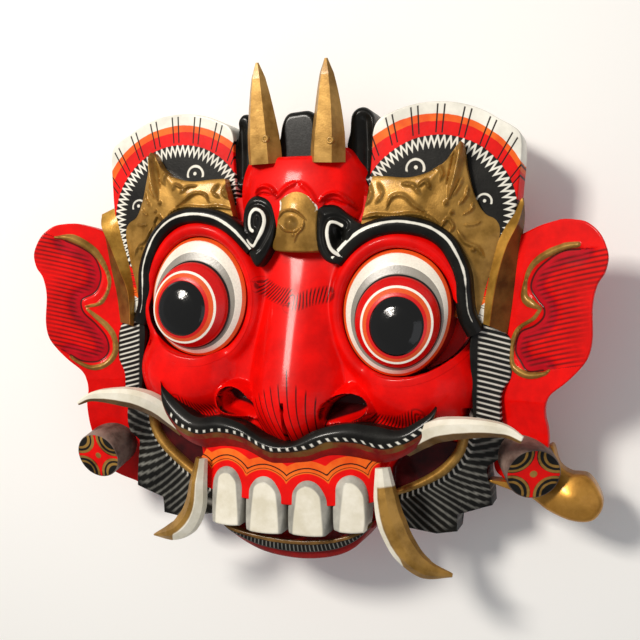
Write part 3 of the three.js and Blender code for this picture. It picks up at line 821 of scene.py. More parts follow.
# ---------------------------------------------------------------- guardian head over the nose
def guardian():
    """The small red head between the fans: a brow dome with rolled closed eyes, black ears and hair."""
    outline = [(-33, 108), (-41, 96), (-42.5, 84), (-41, 72), (-36, 62), (-24, 56), (0, 52), (24, 54),
               (36, 60), (43, 68), (47, 80), (46.5, 90), (41, 99), (33, 108), (27, 108), (20, 104),
               (10, 103), (0, 103), (-12, 103), (-22, 105), (-29, 107)]
    edge = curve(outline, 280, closed=True)
    folds = [
        ([(-26, 80), (-21.7, 83.5), (-15, 83), (-9, 77)], 2.2, 3.4),
        ([(-27, 77), (-21, 79.5), (-14, 78)], 1.3, -1.6),
        ([(18, 73), (24, 78), (31, 78), (39, 70)], 2.2, 3.4),
        ([(20, 71), (26, 74.5), (34, 72)], 1.3, -1.6),
        ([(-10, 76), (-4, 82), (4, 86)], 2.4, 2.0),
        ([(17, 72), (12, 80), (5, 86)], 2.4, 2.0),
    ]

    def top(x, y):
        h = -22 + 29 * np.sqrt(np.clip(1 - ((x - 2) / 52) ** 2 - ((y - 78) / 48) ** 2, 0, 1))
        h -= 7 * ease(30, 46, x) + 5 * ease(28, 44, -x)
        return h + stamped(x, y, folds)

    rings = plate(edge, np.array([2.0, 82.0]), 70, top, -34, 3.0)
    x, y = rings[..., 0], rings[..., 1]
    left_lid = drawn(curve([(-27, 77), (-21, 80), (-14, 79), (-9, 76)], 12), x, y)[0]
    right_lid = drawn(curve([(18, 71), (25, 75), (33, 73), (39, 69)], 12), x, y)[0]
    shade = 0.5 - np.minimum(np.abs(left_lid), np.abs(right_lid))
    material = painted("red enamel brow dome", RED,
                       {"paint": MAROON, "area": "shade", "soft": 0.8, "strength": 0.5})
    skin("guardian_brow", rings, material, "mask_body", {"shade": shade})
    black = painted("black enamel hair", BLACK)
    tufts = {
        "guardian_hair": ([(-15, 98), (-13.5, 118), (-11.5, 127), (-8, 131.5), (-2, 132.5), (6, 132.6),
                           (11, 128), (12.5, 116), (13, 98)], (-1, 112), -7, -34, 4),
        "guardian_ear_left": ([(-50, 92), (-50, 112), (-46.5, 120), (-45.5, 130), (-42, 133.8), (-38, 131.5),
                               (-36.5, 118), (-35, 104), (-38, 92), (-43, 84)], (-43, 106), -14, -36, 4),
        "guardian_ear_right": ([(30, 108), (31.5, 120), (32.5, 130), (37, 134.3), (42.5, 133.8), (47.5, 128),
                                (48, 116), (50, 104), (54.5, 96), (54, 86), (46, 82), (39, 94)],
                               (43, 108), -13, -36, 4),
    }
    for name, (points, middle, level, floor, edge_radius) in tufts.items():
        edge = curve(points, 120, closed=True)
        groove = curve([(middle[0], middle[1] - 14), middle, (middle[0] - 1, middle[1] + 18)], 12)
        dip = 0.0 if "hair" in name else 3.0

        def top(x, y):
            return level + 1.5 - dip * np.exp(-((drawn(groove, x, y)[0] / 3) ** 2))

        rings = plate(edge, np.array(middle, float), 26, top, floor, edge_radius)
        skin(name, rings, black, "mask_body")


def nose_plate():
    """The guardian's gold nose plate, with an almond eye and a bead carved on it and its edges chipped."""
    outline = [(-12, 43.5), (-10.5, 54), (-8.6, 64), (-7.5, 71), (-8, 76), (-3, 79.5), (0, 83), (4.5, 86),
               (8, 83.5), (11.5, 79), (15, 74.5), (17.5, 70), (16.8, 60), (17, 50), (17.5, 43)]
    edge = curve(outline, 170, closed=True)
    carved = [
        ([(-9, 62), (-4, 67.5), (4, 67.5), (11, 62)], 1.1, 1.8),
        ([(-8, 60), (-3, 55.5), (4, 55), (9, 58)], 0.9, 1.4),
        ([(9.5, 62), (9, 57.5), (5, 53), (3, 48)], 1.1, 1.5),
        ([(1, 60.5)], 5.2, 2.6),
        ([(2.5, 53)], 1.8, 1.2),
    ]

    def top(x, y):
        h = 9.5 - 0.018 * (x - 3) ** 2 - 3.5 * ease(68, 86, y) - 2.0 * ease(58, 43, y)
        return h + stamped(x, y, carved)

    rings = plate(edge, np.array([3.0, 62.0]), 60, top, -8, 1.2)
    x, y = rings[..., 0], rings[..., 1]
    border = inside(edge, x, y)
    chipped = np.minimum(1.2 - border, y - 68) + 0.5 * np.sin(x * 2.1) * np.sin(y * 1.7)
    material = painted("gold paint over chipped wood", GOLD, {"paint": WHITE, "area": "chip", "soft": 0.3})
    skin("nose_plate", rings, material, "mask_body", {"chip": chipped})


# ---------------------------------------------------------------- moustached lip, gums, teeth and jaw
# Upper and lower edge of the lip's black band, left to right
LIP_TOP = [(-90.4, -42.7, 7.1), (-87.8, -46.6, 7.4), (-76.6, -56.6, 8.4), (-62.3, -64.8, 9.7),
           (-46.1, -63.3, 11), (-29.9, -66.6, 12.2), (-13.1, -74.7, 13.3), (3.6, -76.4, 13.8),
           (20.2, -67.9, 13), (39.5, -62.6, 11.6), (56.9, -63.1, 10.3), (72.5, -64.6, 9.2),
           (85.1, -57.7, 8.3), (90.6, -53.7, 7.9), (94.4, -49.2, 7.6)]
LIP_BOTTOM = [(-89.1, -43.8, 9.1), (-87.1, -57.8, 9.7), (-76.7, -70.4, 11), (-61.6, -75.6, 11.8),
              (-45.7, -73.5, 12.7), (-29.1, -75.2, 13.8), (-13.1, -82, 14.7), (-4, -83.2, 14.9),
              (15, -80.6, 14.6), (29.8, -74.9, 13.8), (47.5, -74.2, 12.7), (62.8, -77, 11.9),
              (77, -72.6, 11.2), (89, -64.2, 10.3), (93.1, -57.5, 10), (95.7, -49.8, 9.8)]


def lip():
    """The upper lip: a black band between two curves with a low crown along it, a gold edge under it,
    and a red underside, painted a darker red as shade, that runs back to the gums. Dabs of white sit along
    its lower edge."""
    steps = 330
    upper, lower = curve(LIP_TOP, steps), curve(LIP_BOTTOM, steps)
    t = np.linspace(0, 1, steps)
    thick = 1 - np.exp(-np.minimum(t, 1 - t) * 14)
    gold = lower + np.stack([0 * t, -3.2 * thick, -1.6 * thick], axis=1)
    under = lower + np.stack([0 * t, (-7.5 - 5 * np.sin(math.pi * t) ** 2) * thick, -7.5 * thick], axis=1)
    back_low = under + np.stack([0 * t, 2 * thick, -12 * thick], axis=1)
    back_high = upper + np.stack([0 * t, 0 * t, -12 * thick], axis=1)
    stations = [back_high, upper, None, lower, gold, under, back_low]
    band = np.linspace(0, 1, 12)[1:-1, None, None]
    crown_rise = (2.6 * thick)[None, :, None] * np.sin(math.pi * band) * np.array([0, 0, 1])
    middle = upper * (1 - band) + lower * band + crown_rise
    parts, zone = [], []
    for place, rail in enumerate(stations):
        if rail is None:
            parts.append(middle)
            zone += list(1 + band[:, 0, 0])
        else:
            parts.append(rail[None])
            zone.append({0: 0.5, 1: 1, 3: 2, 4: 3, 5: 4, 6: 4.5}[place])
    rings = np.concatenate(parts).transpose(1, 0, 2)
    zone = np.broadcast_to(np.array(zone), rings.shape[:2])
    run = np.concatenate([[0], np.cumsum(np.linalg.norm(np.diff(lower, axis=0), axis=1))])[:, None]
    wide = np.linalg.norm(upper - lower, axis=1)[:, None]
    above = (2 - zone) * wide
    dots = np.where(zone <= 2, 1.05 - np.abs(above - 2.3), -3)
    dots = np.minimum(dots, np.minimum(run - 22, run[-1] - 14 - run))
    # The red ground, left bare on the underside, is a darker red as painted shade
    material = painted(
        "black enamel moustache", DEEP_RED,
        {"paint": BLACK, "area": "black"},
        {"paint": BRONZE, "area": "gold"},
        {"paint": WHITE, "phase": "dots", "pitch": 5.6, "width": 1.7, "area": "dot_area", "soft": 0.35},
    )
    marks = {
        "black": (2 - zone) * 5,
        "gold": np.minimum(zone - 2, 3 - zone) * 3.2,
        "dots": (run + 0.35 * above) / 5.6 + 0 * zone,
        "dot_area": dots,
    }
    skin("moustache_lip", rings, material, "mask_body", marks)


# Upper teeth: left edge, right edge, top of the arch and bottom
TEETH = [(-52.6, -28.6, -95.4, -133), (-27.6, 0.6, -98.8, -135), (1.8, 29.4, -99.2, -134),
         (30.8, 53.6, -94.8, -130)]


def tooth_outline(left, right, top, bottom, count=120):
    """A tooth: an arch over straight sides that close in a little to a nearly square bottom edge."""
    middle, half = (left + right) / 2, (right - left) / 2
    return curve([(middle, top), (middle + 0.66 * half, top - 3.2), (right - 0.8, top - 10),
                  (right - 0.2, top - 20), (right - 1.5, bottom + 2), (right - 3.4, bottom + 0.4),
                  (middle, bottom - 0.4), (left + 3.4, bottom + 0.2), (left + 1.2, bottom + 2),
                  (left + 0.2, top - 20), (left + 0.8, top - 10),
                  (middle - 0.66 * half, top - 3.2)], count, closed=True)


def teeth():
    """Four upper teeth: a flat front face between sloped flanks, the flanks brushed with grey."""
    material = painted("cream tooth enamel", CREAM, {"paint": GREY, "area": "flank", "soft": 0.5})
    for number, (left, right, top_y, bottom) in enumerate(TEETH, 1):
        edge = tooth_outline(left, right, top_y, bottom)
        middle, half = (left + right) / 2, (right - left) / 2
        lead = 1.0 if middle < 20 else 2.5

        def flank(x, y):
            slope = np.abs(x - middle - lead) - (0.56 + 0.14 * ease(top_y - 6, bottom, y)) * half
            slope = slope * np.where(x < middle, 0.9, 1.0)
            arch = y - (top_y - 4) + 0.085 * (x - middle) ** 2 * (12 / half)
            return soft_max(slope, arch, 1.5)

        def top(x, y):
            return 14 - 0.62 * np.clip(flank(x, y), 0, 12) - 0.0016 * (x - 1) ** 2

        rings = plate(edge, np.array([middle, (top_y + bottom) / 2]), 34, top, -6, 1.6)
        x, y = rings[..., 0], rings[..., 1]
        skin(f"tooth_{number}", rings, material, "mask_body", {"flank": flank(x, y)})


def gums():
    """The gum ridge behind the teeth: a curved shield in orange and red, with a red band and two pen
    lines that follow the arch of each tooth."""
    outline = [(-70, -76), (-58, -84), (-69, -104), (-52, -112), (0, -116), (52, -112), (60, -104),
               (60, -84), (66, -77), (40, -74), (0, -78), (-40, -72)]
    edge = curve(outline, 220, closed=True)

    def top(x, y):
        return 11.2 - 0.0022 * x**2 - 0.06 * (y + 95)

    rings = plate(edge, np.array([0.0, -94.0]), 60, top, -12, 1.0)
    x, y = rings[..., 0], rings[..., 1]
    gap = np.full(x.shape, 1e9)
    arches = [(-71, -54, -97, -130)] + TEETH + [(56, 66, -90, -125)]
    for left, right, top, bottom in arches:
        gap = np.minimum(gap, -inside(tooth_outline(left, right, top, bottom, 48), x, y))
    material = painted(
        "orange and red gum enamel", ORANGE,
        {"paint": RED, "area": "red"},
        {"paint": INK, "phase": "thin", "pitch": 100, "width": 0.4, "area": "near"},
        {"paint": INK, "phase": "bold", "pitch": 100, "width": 0.8, "area": "near"},
    )
    marks = {
        "red": np.maximum(3.6 - gap, gap - 11.5),
        "thin": line_at(gap, 4.6),
        "bold": line_at(gap, 7.0),
        "near": 9 - gap,
    }
    skin("gum_ridge", rings, material, "mask_body", marks)


def jaw():
    """The lower jaw below the teeth: a crescent with a gold edge, a black band of ticks and a red rim."""
    inner = [(-50, -130, 2), (-40, -136, 3), (-20, -139.5, 4), (5, -140.5, 4), (28, -137.5, 4),
             (44, -132, 3), (53, -126, 2)]
    outer = [(-50, -131, 0), (-41, -141, 0), (-20, -150.5, 0), (5, -153, 0), (28, -149.5, 0), (43, -142, 0),
             (54, -129, 0)]
    steps = 200
    a, b = curve(inner, steps), curve(outer, steps)
    t = np.linspace(0, 1, 26)[None, :, None]
    top = a[:, None] * (1 - t) + b[:, None] * t
    puff = np.sin(math.pi * t[..., 0]) ** 0.7
    top[..., 2] += 1.6 * puff - 2.2 * ease(0.55, 0.6, t[..., 0])
    foot = np.stack([b, a], axis=1)
    foot[..., 2] = -28
    rings = np.concatenate([top, foot], axis=1)
    wide = np.linalg.norm(a - b, axis=1)[:, None]
    share = np.concatenate([t[0, :, 0], [1.2, 1.5]])[None, :]
    along = np.linspace(0, 108, steps)[:, None] + 0 * share
    from_teeth = share * np.maximum(wide, 0.01)
    material = painted(
        "dark red jaw enamel", DEEP_RED,
        {"paint": BLACK, "area": "black"},
        {"paint": DIM, "phase": "ticks", "pitch": 2.6, "width": 0.7, "area": "tick_area", "strength": 0.7},
        {"paint": BRONZE, "area": "gold"},
    )
    marks = {
        "gold": 2.0 - from_teeth,
        "black": np.minimum(from_teeth - 1.8, 0.52 * wide - from_teeth + 0.6),
        "ticks": along / 2.6,
        "tick_area": np.minimum(from_teeth - 2.4, 0.52 * wide - from_teeth),
    }
    skin("jaw_crescent", rings, material, "mask_body", marks)


# ---------------------------------------------------------------- beard, sideburns and mouth corners
def board(left, right, steps, across, top, floor, edge=1.2):
    """A flat carving between two edge curves: rungs join them, at height top(x, y) less a quarter-round
    of the edge radius along its sides, and its back lies at floor(x, y)."""
    a, b = curve(left, steps), curve(right, steps)
    share = 0.5 - 0.5 * np.cos(np.linspace(0, math.pi, across))
    flat = a[:, None] * (1 - share[None, :, None]) + b[:, None] * share[None, :, None]
    x, y = flat[..., 0], flat[..., 1]
    inset = inside(np.concatenate([a, b[::-1]]), x, y)
    q = np.clip(1 - inset / edge, 0, 1)
    front = np.dstack([x, y, top(x, y) - edge * (1 - np.sqrt(1 - q**2))])
    ends = np.stack([b, a], axis=1)
    back = np.dstack([ends, floor(ends[..., 0], ends[..., 1])])
    return np.concatenate([front, back], axis=1)


def collar():
    """The beard: a flat black collar outside each mouth corner, with a stepped edge and pen stripes that
    fan out from the gold rim of the mouth."""
    outline = [(112, -50), (121, -53), (130, -58), (131.5, -65), (132, -71), (131.5, -77), (130, -82),
               (126, -85), (121.5, -88), (122, -94.5), (123, -101), (124, -109), (124.5, -117),
               (114, -120.5), (103.5, -124), (103, -129.5), (103, -135), (96.5, -136), (90, -137),
               (78, -135), (66, -133), (60, -122), (58, -112), (70, -100), (84, -93), (95, -86), (106, -70)]
    material = painted(
        "black beard with pen stripes", BLACK,
        {"paint": DIM, "phase": "pen", "pitch": 3.7, "width": 1.0, "area": "pen_area", "soft": 0.5,
         "strength": 0.8},
        {"paint": WHITE, "phase": "pen", "pitch": 3.7, "width": 0.9, "area": "rim_area", "soft": 0.4,
         "strength": 0.8},
    )
    rim = curve(MOUTH_RIM, 40)
    corner = np.array(outline, float)
    t = np.linspace(0, 1, 9)[:-1, None]
    edge = np.concatenate([a + (b - a) * t for a, b in zip(corner, np.roll(corner, -1, axis=0))])

    def top(x, y):
        return -17 - 0.16 * np.abs(drawn(rim, x, y)[0])

    rings = plate(edge, np.array([102.0, -101.0]), 50, top, -44, 0.8)
    d, run = drawn(rim, rings[..., 0], rings[..., 1])
    out = np.abs(d)
    bent = np.where(out < 6, -0.5 * out, 0.35 * (out - 6) - 3.0)
    marks = {
        "pen": (run + bent) / 3.7,
        "pen_area": np.minimum(34 - out, out - 5) * 0.2,
        "rim_area": np.minimum(6.5 - out, out - 2) * 0.4,
    }
    on_both_sides("beard_collar", rings, material, marks)


def mouth_corners():
    """The gold rim around the outer corner of the mouth: a flattened roll along a curve."""
    material = painted("gold paint on mouth rim", GOLD)
    path = np.column_stack([MOUTH_RIM, np.full(len(MOUTH_RIM), -15.0)])
    rings = sweep(path, [2.0, 3.0, 3.2, 3.2, 3.0, 2.6, 2], [3, 4, 4, 4, 4, 4, 3], round_section(16, 1.5), 90)
    on_both_sides("mouth_rim", rings, material)


def sideburns():
    """The hair in front of each ear: a black board with a slanted row of pen strokes."""
    pitch = 3.3
    material = painted(
        "black sideburn with pen stripes", BLACK,
        {"paint": WHITE, "phase": "pen", "pitch": pitch, "width": 0.95, "area": "pen_area", "soft": 0.35,
         "strength": 0.9},
    )
    left = [(119, 1.5), (114, -1), (111, -12), (112, -30), (114, -60)]
    right = [(120, 1.5), (127, -2), (134, -8), (137, -18), (136, -31), (130, -42), (130, -60)]
    rings = board(left, right, 60, 30, lambda x, y: -10 - 0.3 * (x - 118), lambda x, y: -44 + 0 * x)
    x, y = rings[..., 0], rings[..., 1]
    marks = {
        "pen": (y + 0.25 * x) / pitch,
        "pen_area": np.minimum(np.minimum(x - 116.5, 134.5 - x), -y - 1) * 0.4,
    }
    on_both_sides("sideburn", rings, material, marks)


# ---------------------------------------------------------------- ears and plugs
# On each ear: gold scrolls with their half widths, and the dark line that bounds the crimson hollow
SCROLLS = {
    "left": (
        [(176.6, 52.3), (167.2, 52.2), (157.7, 47.8), (150, 41), (143.6, 29.6), (142.2, 19), (147.3, 7.6),
         (156.8, 4.7)],
        [0.6, 2.5, 2.7, 1.9, 1.0, 0.8, 1.2, 0.5],
        [(156.1, 3), (150.4, -2.2), (143.4, -8.7), (138.6, -17), (138.2, -27.5), (143.8, -35.3),
         (152.7, -37.9), (162.3, -33.8), (166.7, -30.3)],
        [0.6, 1.4, 1.5, 1.5, 1.7, 1.6, 1.7, 1.1, 0.4],
        [(170.3, 50), (160.8, 45.6), (152.6, 39.6), (148.4, 29.6), (148.4, 22), (151.8, 14.5), (159.4, 9.9),
         (160.3, 5), (158, -0.5), (150.4, -8.1), (144, -17.1), (142.9, -26.9), (148.9, -33.3),
         (159.1, -33.4), (166.7, -29.3)],
    ),
    "right": (
        [(173.3, 47.2), (165.9, 46.2), (157.2, 42.9), (149.6, 38.3), (144.6, 31.5), (142.4, 22), (142.8, 16),
         (147, 12.6), (152.7, 10)],
        [1.4, 1.9, 1.9, 1.9, 1.4, 1.0, 1.8, 2.8, 0.6],
        [(152.1, 9.1), (148, 3.7), (140.1, -1.7), (136, -10), (135, -21.6), (138, -27), (145.8, -30.1),
         (154.8, -28.5), (158.3, -26.1)],
        [0.8, 1.1, 1.2, 1.3, 1.5, 1.8, 2.0, 1.7, 0.6],
        [(174.5, 44.6), (164.8, 43.6), (156.2, 38.5), (149.1, 31.5), (146.3, 22.6), (150.1, 15.6),
         (154.5, 10.1), (154, 4.5), (148.7, -0.5), (140.2, -5), (137.7, -15.4), (141.3, -22.4),
         (145.7, -27.7), (154.8, -26.4)],
    ),
}


def ears():
    """Each ear board: it flares forwards with its distance from the head, its lobe folds back, two gold
    scrolls stand on it in a half-round, a dark line runs in a groove behind them, and pen strokes cross
    the board outside its crimson hollow."""
    inner = [(163, 62.2), (151, 59), (139, 54), (126, 51.5), (114, 50), (114, 25), (114, -10), (116, -46),
             (124, -60)]
    outer = [(165, 62.3), (171, 61.8), (178, 60), (185, 54), (189, 46), (190.3, 39), (188.5, 31),
             (184.5, 24), (182.2, 12), (182.6, -6), (180.6, -17), (175.5, -25), (168, -33), (160, -40),
             (156.8, -46), (156.4, -54), (158.4, -64), (158, -80), (155, -92)]
    pitch = 2.9
    material = painted(
        "red enamel ear", RED,
        {"paint": CRIMSON, "area": "hollow", "soft": 1.2},
        {"paint": MAROON, "phase": "pen", "pitch": pitch, "width": 1.1, "area": "pen_area", "soft": 0.5,
         "strength": 0.85},
        {"paint": INK, "phase": "line", "pitch": 100, "width": 1.2, "area": "line_area", "soft": 0.3,
         "strength": 0.9},
        {"paint": GOLD, "area": "gold"},
    )
    for side, word, bottom in ((-1, "left", -122), (1, "right", -97)):
        left = inner + [(124, bottom + 8), (130, bottom)]
        right = outer + [(148, bottom + 10), (131, bottom)]
        high, high_widths, low, low_widths, dark = SCROLLS[word]
        scrolls = [(curve(high, 60), high_widths), (curve(low, 60), low_widths)]
        hollow = curve(dark, 90)

        def raised(x, y):
            best = np.full(x.shape, -50.0)
            for line, widths in scrolls:
                d, run = drawn(line, x, y)
                share = run / length(line)
                wide = np.interp(share, np.linspace(0, 1, len(widths)), widths)
                best = np.maximum(best, wide - np.abs(d))
            return best

        def front(x, y):
            return -20 + 0.42 * (x - 125) - 0.24 * np.maximum(0, -46 - y)

        def top(x, y):
            near = raised(x, y)
            sunk = drawn(hollow, x, y)[0]
            cut = 1.1 * np.exp(-((sunk / 1.2) ** 2)) + 0.8 * ease(0, 2, sunk) * ease(11, 5, sunk)
            return front(x, y) + 1.9 * np.sqrt(np.clip(near / 2.2, 0, 1)) - cut * (near < 0)

        rings = board(left, right, 280, 120, top, lambda x, y: front(x, y) - 9)
        x, y = rings[..., 0], rings[..., 1]
        d = drawn(hollow, x, y)[0]
        marks = {
            "gold": raised(x, y) + 0.2,
            "line": line_at(d, 0),
            "line_area": 2.5 - np.abs(d),
            "hollow": np.minimum(d, 8 - d),
            "pen": (y - 0.3 * x + 0.0016 * (x - 150) ** 2) / pitch,
            "pen_area": np.minimum((21 - d) * 0.07, (d - 3.5) * 0.4),
        }
        skin(f"carved_ear_{word}", mirrored(rings, side), material, f"ear_{word}", marks)


def plugs():
    """Each ear plug: a squat cylinder along its own axis, its front domed slightly, with a red diamond,
    a gold dot and double gold arcs in the four corners."""
    material = painted(
        "maroon plug with gold drawing", ("#4a3a34", "#8a766c", 0.5, 0.0, 0.03),
        {"paint": BLACK, "area": "front"},
        {"paint": RED, "area": "diamond"},
        {"paint": GOLD, "area": "gold"},
    )
    places = {"left": ((-146, -99, -6), (1, 8, -25)), "right": ((151, -88, -6), (-9, 8, -23))}
    for word, (front, back) in places.items():
        front = np.array(front, float)
        axis = np.array(back, float) / np.linalg.norm(back)
        side = np.cross([0, 1.0, 0], axis)
        side /= np.linalg.norm(side)
        lift = np.cross(axis, side)
        turn = np.linspace(0, 2 * math.pi, 120, endpoint=False)
        radii = np.concatenate([np.linspace(0.4, 15.4, 46), [16.0, 16.3, 16.3, 16.3, 15.9, 12]])
        depth = np.concatenate([0.5 * np.cos(np.linspace(0, math.pi / 2, 46)), [0.2, 0.9, 13, 25, 26, 26]])
        u = radii[:, None] * np.cos(turn)
        v = radii[:, None] * np.sin(turn)
        rings = front + u[..., None] * -side + v[..., None] * lift + depth[:, None, None] * axis
        corner = np.hypot(np.abs(u) - 13.2, np.abs(v) - 13.2)
        dot = 2.1 - np.hypot(u, v)
        arcs = np.maximum(0.8 - np.abs(corner - 11.3), 0.75 - np.abs(corner - 7.9))
        face = np.where(depth[:, None] > 1, NOWHERE, 15.6 - np.hypot(u, v))
        marks = {"front": face, "diamond": np.minimum(corner - 12.4, face),
                 "gold": np.minimum(np.maximum(arcs, dot), face)}
        skin(f"plug_{word}", rings, material, f"ear_plug_{word}", marks)


# ---------------------------------------------------------------- tusks, fangs, blades, horns and tail
# Each tusk and fang: its path from the mouth to its tip and its half widths
TUSKS = {
    "left": ([(-76, -76, 0), (-90, -63, 5), (-104, -55.5, 12), (-122, -53.5, 17), (-135, -54.5, 20),
              (-143, -59, 23)],
             [5, 7.2, 7.5, 6.5, 4.2, 1.2]),
    "right": ([(74, -78, 0), (87, -68, 5), (99, -62.5, 12), (118, -59.5, 17), (136, -59.5, 20),
               (147, -63.5, 23)],
              [5, 7.2, 7.2, 6.2, 4.6, 2.2]),
}
FANGS = {
    "left": ([(-58, -91, 11), (-60, -107, 12), (-62, -121, 11), (-68, -133, 9), (-79, -142, 6),
              (-97, -147.5, 1)],
             [3.5, 5.5, 7.2, 8, 6, 0.8]),
    "right": ([(63, -88, 11), (65.5, -106, 12), (69, -121, 11), (77, -137, 9), (89, -148.5, 5),
               (105, -152, 0)],
              [4.5, 7.5, 9, 8.5, 6.3, 1.2]),
}


def tusks():
    """Upper tusks and lower fangs: cut sections swept along curves to a blunt tip. The tusks are cream
    with a brown bevel underneath that is also painted darker as shade, the fangs gold with a cream flank."""
    steps = 120
    plank = cut_section([(-1, -0.7), (-1, -0.1), (-0.42, 0.85), (0.45, 1.0), (0.9, 0.6), (1, -0.7)], 5)
    cream = painted("cream tusk enamel", CREAM, {"paint": BRONZE, "area": "bevel", "soft": 0.3})
    for word, (path, widths) in TUSKS.items():
        up = 1 if word == "left" else -1
        section = plank * [up, 1]
        rings = sweep(path, widths, [3, 4.5, 5, 4, 3, 1], section, steps)
        half = spread(widths, steps)[:, None]
        # Brown under each tusk: a brown bevel, painted darker as well for the shade of its underside
        bevel = -up * section[None, :, 0] * half - 0.36 * half
        skin(f"upper_tusk_{word}", rings, cream, f"tusk_{word}", {"bevel": bevel}, crease=25)
    horn = cut_section([(-1, -0.6), (-0.85, 0.3), (-0.25, 0.95), (0.3, 1.0), (0.9, 0.3), (1, -0.6)], 5)
    gold = painted("gold fang paint", GOLD, {"paint": CREAM, "area": "cream", "soft": 0.4})
    for word, (path, widths) in FANGS.items():
        rings = sweep(path, widths, [4, 5, 5, 5, 4, 1], horn, steps)
        half = spread(widths, steps)[:, None]
        across = horn[None, :, 0] * half
        run = np.linspace(0, 1, steps)[:, None]
        if word == "left":
            flank = -across - 0.15 * half - 12 * ease(0.72, 0.9, run)
        else:
            flank = across - 0.5 * half - 8 * ease(0.6, 0.8, run)
            flank = np.maximum(flank, (0.13 - run) * 60)
        skin(f"lower_fang_{word}", rings, gold, f"fang_{word}", {"cream": flank}, crease=30)


# Edges of each blade from its foot up: outer, ridge and inner edge and back
BLADES = {
    "left": [
        [(-135, -6, -16), (-138.5, 12, -16), (-144.5, 32, -16), (-147.5, 50, -16), (-149.5, 64, -16),
         (-148.5, 69.5, -15)],
        [(-120.2, -7, -4), (-122, 14.7, -4), (-129.5, 32, -4), (-137, 48, -4), (-145, 60, -7),
         (-148, 69, -12)],
        [(-121.5, -9, -12), (-120, 12, -11), (-124.5, 33, -10), (-130, 50, -10), (-134.5, 65, -10),
         (-137.5, 73, -11)],
        [(-130, -6, -26), (-131, 14, -26), (-137, 34, -26), (-141, 52, -24), (-143, 66, -20),
         (-143.5, 71.5, -17)],
    ],
    "right": [
        [(132.2, -6, -16), (135.8, 16, -16), (138, 34, -16), (140, 51, -16), (141.3, 64, -16),
         (140.6, 75.5, -15)],
        [(123.1, -1, -4), (125.2, 17, -4), (128, 32, -4), (132.5, 47, -4), (138.5, 60, -5), (141, 72, -12)],
        [(117, 0.4, -12), (118, 17, -12), (120.5, 32, -12), (124, 49, -12), (131, 63, -12),
         (139.6, 75.5, -13)],
        [(126, -3, -26), (128, 16, -26), (130, 33, -26), (134, 50, -24), (138, 63, -20), (140, 76, -16)],
    ],
}


def blades():
    """The gold blade beside each eye: a leaf lofted through its four edges, its inner face painted a lighter
    gold as lit and its outer face painted a darker gold as shade, meeting at a ridge."""
    # A lighter gold than GOLD: painted light on the blades' inner faces
    lit_gold = ("#8f6826", "#c99a44", 0.46, 0.42, 0.06)
    gold = painted("gold blade paint", lit_gold, {"paint": BRONZE, "area": "outer"})
    across = 12
    # The outer face and the back behind it take the darker gold: painted shade
    place = np.arange(4 * across)
    outer = np.where((place < across) | (place > 3 * across), 3.0, -3.0)[None, :]
    for word, edges in BLADES.items():
        rings = loft(edges, 90, across)
        skin(f"temple_blade_{word}", rings, gold, f"blade_{word}", {"outer": outer}, crease=25)


def horns():
    """The guardian's faceted horns: six-sided with a full taper and a blunt tip, and a small round stud,
    dented in the middle, on the front of each."""
    gold = painted("pale gold horn paint", ("#8a6630", "#bd9350", 0.48, 0.35, 0.06))
    taper = [11.5, 11.4, 10.8, 9.6, 8.2, 6.6, 4.6, 1.0]
    angle = 2 * math.pi * np.arange(6) / 6
    hexagon = cut_section(np.stack([np.cos(angle), np.sin(angle)], axis=1), 4)
    turn = np.linspace(0, 2 * math.pi, 24, endpoint=False)
    for side, word, spot in ((-1, "left", (-17, 113)), (1, "right", (26, 110.5))):
        path = [(side * 21, 99, -2), (side * 22.3, 129, 2.8), (side * 22.8, 160.5, 10)]
        rings = sweep(path, taper, taper, hexagon, 90)
        skin(f"guardian_horn_{word}", rings, gold, f"horn_{word}", crease=25)
        ring = np.stack([spot[0] + 2.5 * np.cos(turn), spot[1] + 2.5 * np.sin(turn)], axis=1)

        def top(x, y):
            return 10.4 - 0.9 * np.exp(-(((x - spot[0]) ** 2 + (y - spot[1]) ** 2) / 1.2))

        stud = plate(ring, np.array(spot, float), 10, top, 4, 1.0)
        skin(f"horn_stud_{word}", stud, gold, f"horn_{word}")


def tail():
    """The swelling gold tail behind the right plug: a board with one bulging end."""
    outline = [(120, -97), (136, -97), (146, -92), (154, -78), (160, -73), (164, -84), (171, -89),
               (181, -90), (188, -99), (190, -108), (184, -117), (172, -118), (158, -113), (147, -106),
               (130, -101)]
    satin = painted("satin gold tail", ("#9a6a26", "#c48f40", 0.36, 0.6, 0.02))
    edge = curve(outline, 160, closed=True)

    def top(x, y):
        return -22 + 5 * np.exp(-(((x - 173) / 13) ** 2) - ((y + 104) / 10) ** 2)

    rings = plate(edge, np.array([160.0, -98.0]), 40, top, -36, 4)
    skin("curled_tail", rings, satin, "gold_tail")


red_face = face_paint()
head(red_face)
sockets(red_face)
eyes()
brows()
volutes()
crown()
gold_layers()
guardian()
nose_plate()
lip()
teeth()
gums()
jaw()
collar()
mouth_corners()
sideburns()
ears()
plugs()
tusks()
blades()
horns()
tail()


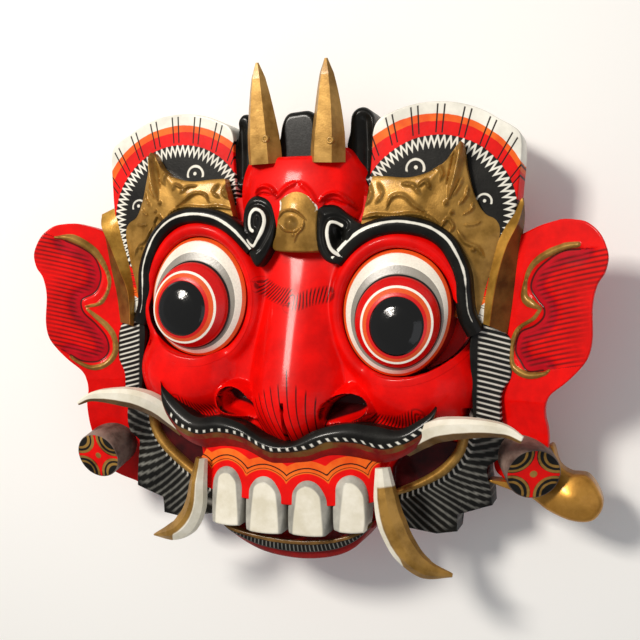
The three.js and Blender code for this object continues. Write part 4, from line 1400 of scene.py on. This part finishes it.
# ---------------------------------------------------------------- table, light and camera
def floor():
    """A wide pale table under the mask, at the height of its back rim."""
    mesh = bpy.data.meshes.new("table")
    mesh.from_pydata([(-4, -4, 0), (4, -4, 0), (4, 4, 0), (-4, 4, 0)], [], [(0, 1, 2, 3)])
    table = bpy.data.objects.new("table", mesh)
    bpy.context.scene.collection.objects.link(table)
    material = bpy.data.materials.new("matt white table")
    material.use_nodes = True
    shader = material.node_tree.nodes["Principled BSDF"]
    shader.inputs["Base Color"].default_value = colour("#f4f4f2")
    shader.inputs["Roughness"].default_value = 0.9
    mesh.materials.append(material)


def aimed(place, target, roll=0.0):
    """A matrix at a place, looking along -Z at a target, level and then rolled by an angle."""
    place, target = np.array(place, float), np.array(target, float)
    back = place - target
    back /= np.linalg.norm(back)
    right = np.cross([0, 1.0, 0], back)
    right /= np.linalg.norm(right)
    up = np.cross(back, right)
    c, s = math.cos(roll), math.sin(roll)
    right, up = right * c + up * s, up * c - right * s
    matrix = Matrix.Identity(4)
    for column, axis in enumerate((right, up, back, place)):
        for row in range(3):
            matrix[row][column] = axis[row]
    return matrix


def lamp(name, place, size, power, tint):
    """A square soft light aimed at the middle of the mask."""
    data = bpy.data.lights.new(name, "AREA")
    data.shape = "SQUARE"
    data.size = size
    data.energy = power
    data.color = colour(tint)[:3]
    made = bpy.data.objects.new(name, data)
    made.matrix_world = aimed(place, (0.01, -0.003, 0.06))
    bpy.context.scene.collection.objects.link(made)


def studio():
    """Soft key from the upper left front, weak fill from the right, and a pale surround."""
    lamp("key_light", (-0.45, 0.5, 1.1), 0.26, 15, "#fff8ee")
    lamp("fill_light", (0.9, -0.3, 0.8), 0.9, 1.5, "#f6f9ff")
    world = bpy.data.worlds.new("pale surround")
    world.use_nodes = True
    sky = world.node_tree.nodes["Background"]
    sky.inputs["Color"].default_value = colour("#f7f8fa")
    sky.inputs["Strength"].default_value = 0.34
    bpy.context.scene.world = world


def camera():
    """A 51.75 mm lens looking down at the mask from its front, a little to its right."""
    data = bpy.data.cameras.new("camera")
    data.sensor_width = 36
    data.lens = 51.75
    data.clip_start = 0.01
    made = bpy.data.objects.new("camera", data)
    target = np.array([0.01805, -0.003, 0.070])
    around, above = math.radians(19.0), math.radians(2.0)
    away = np.array([math.sin(around) * math.cos(above), math.sin(above),
                     math.cos(around) * math.cos(above)])
    made.matrix_world = aimed(target + 0.578 * away, target, math.radians(0.88))
    bpy.context.scene.collection.objects.link(made)
    bpy.context.scene.camera = made


floor()
studio()
camera()
bpy.context.scene.view_settings.view_transform = "Standard"
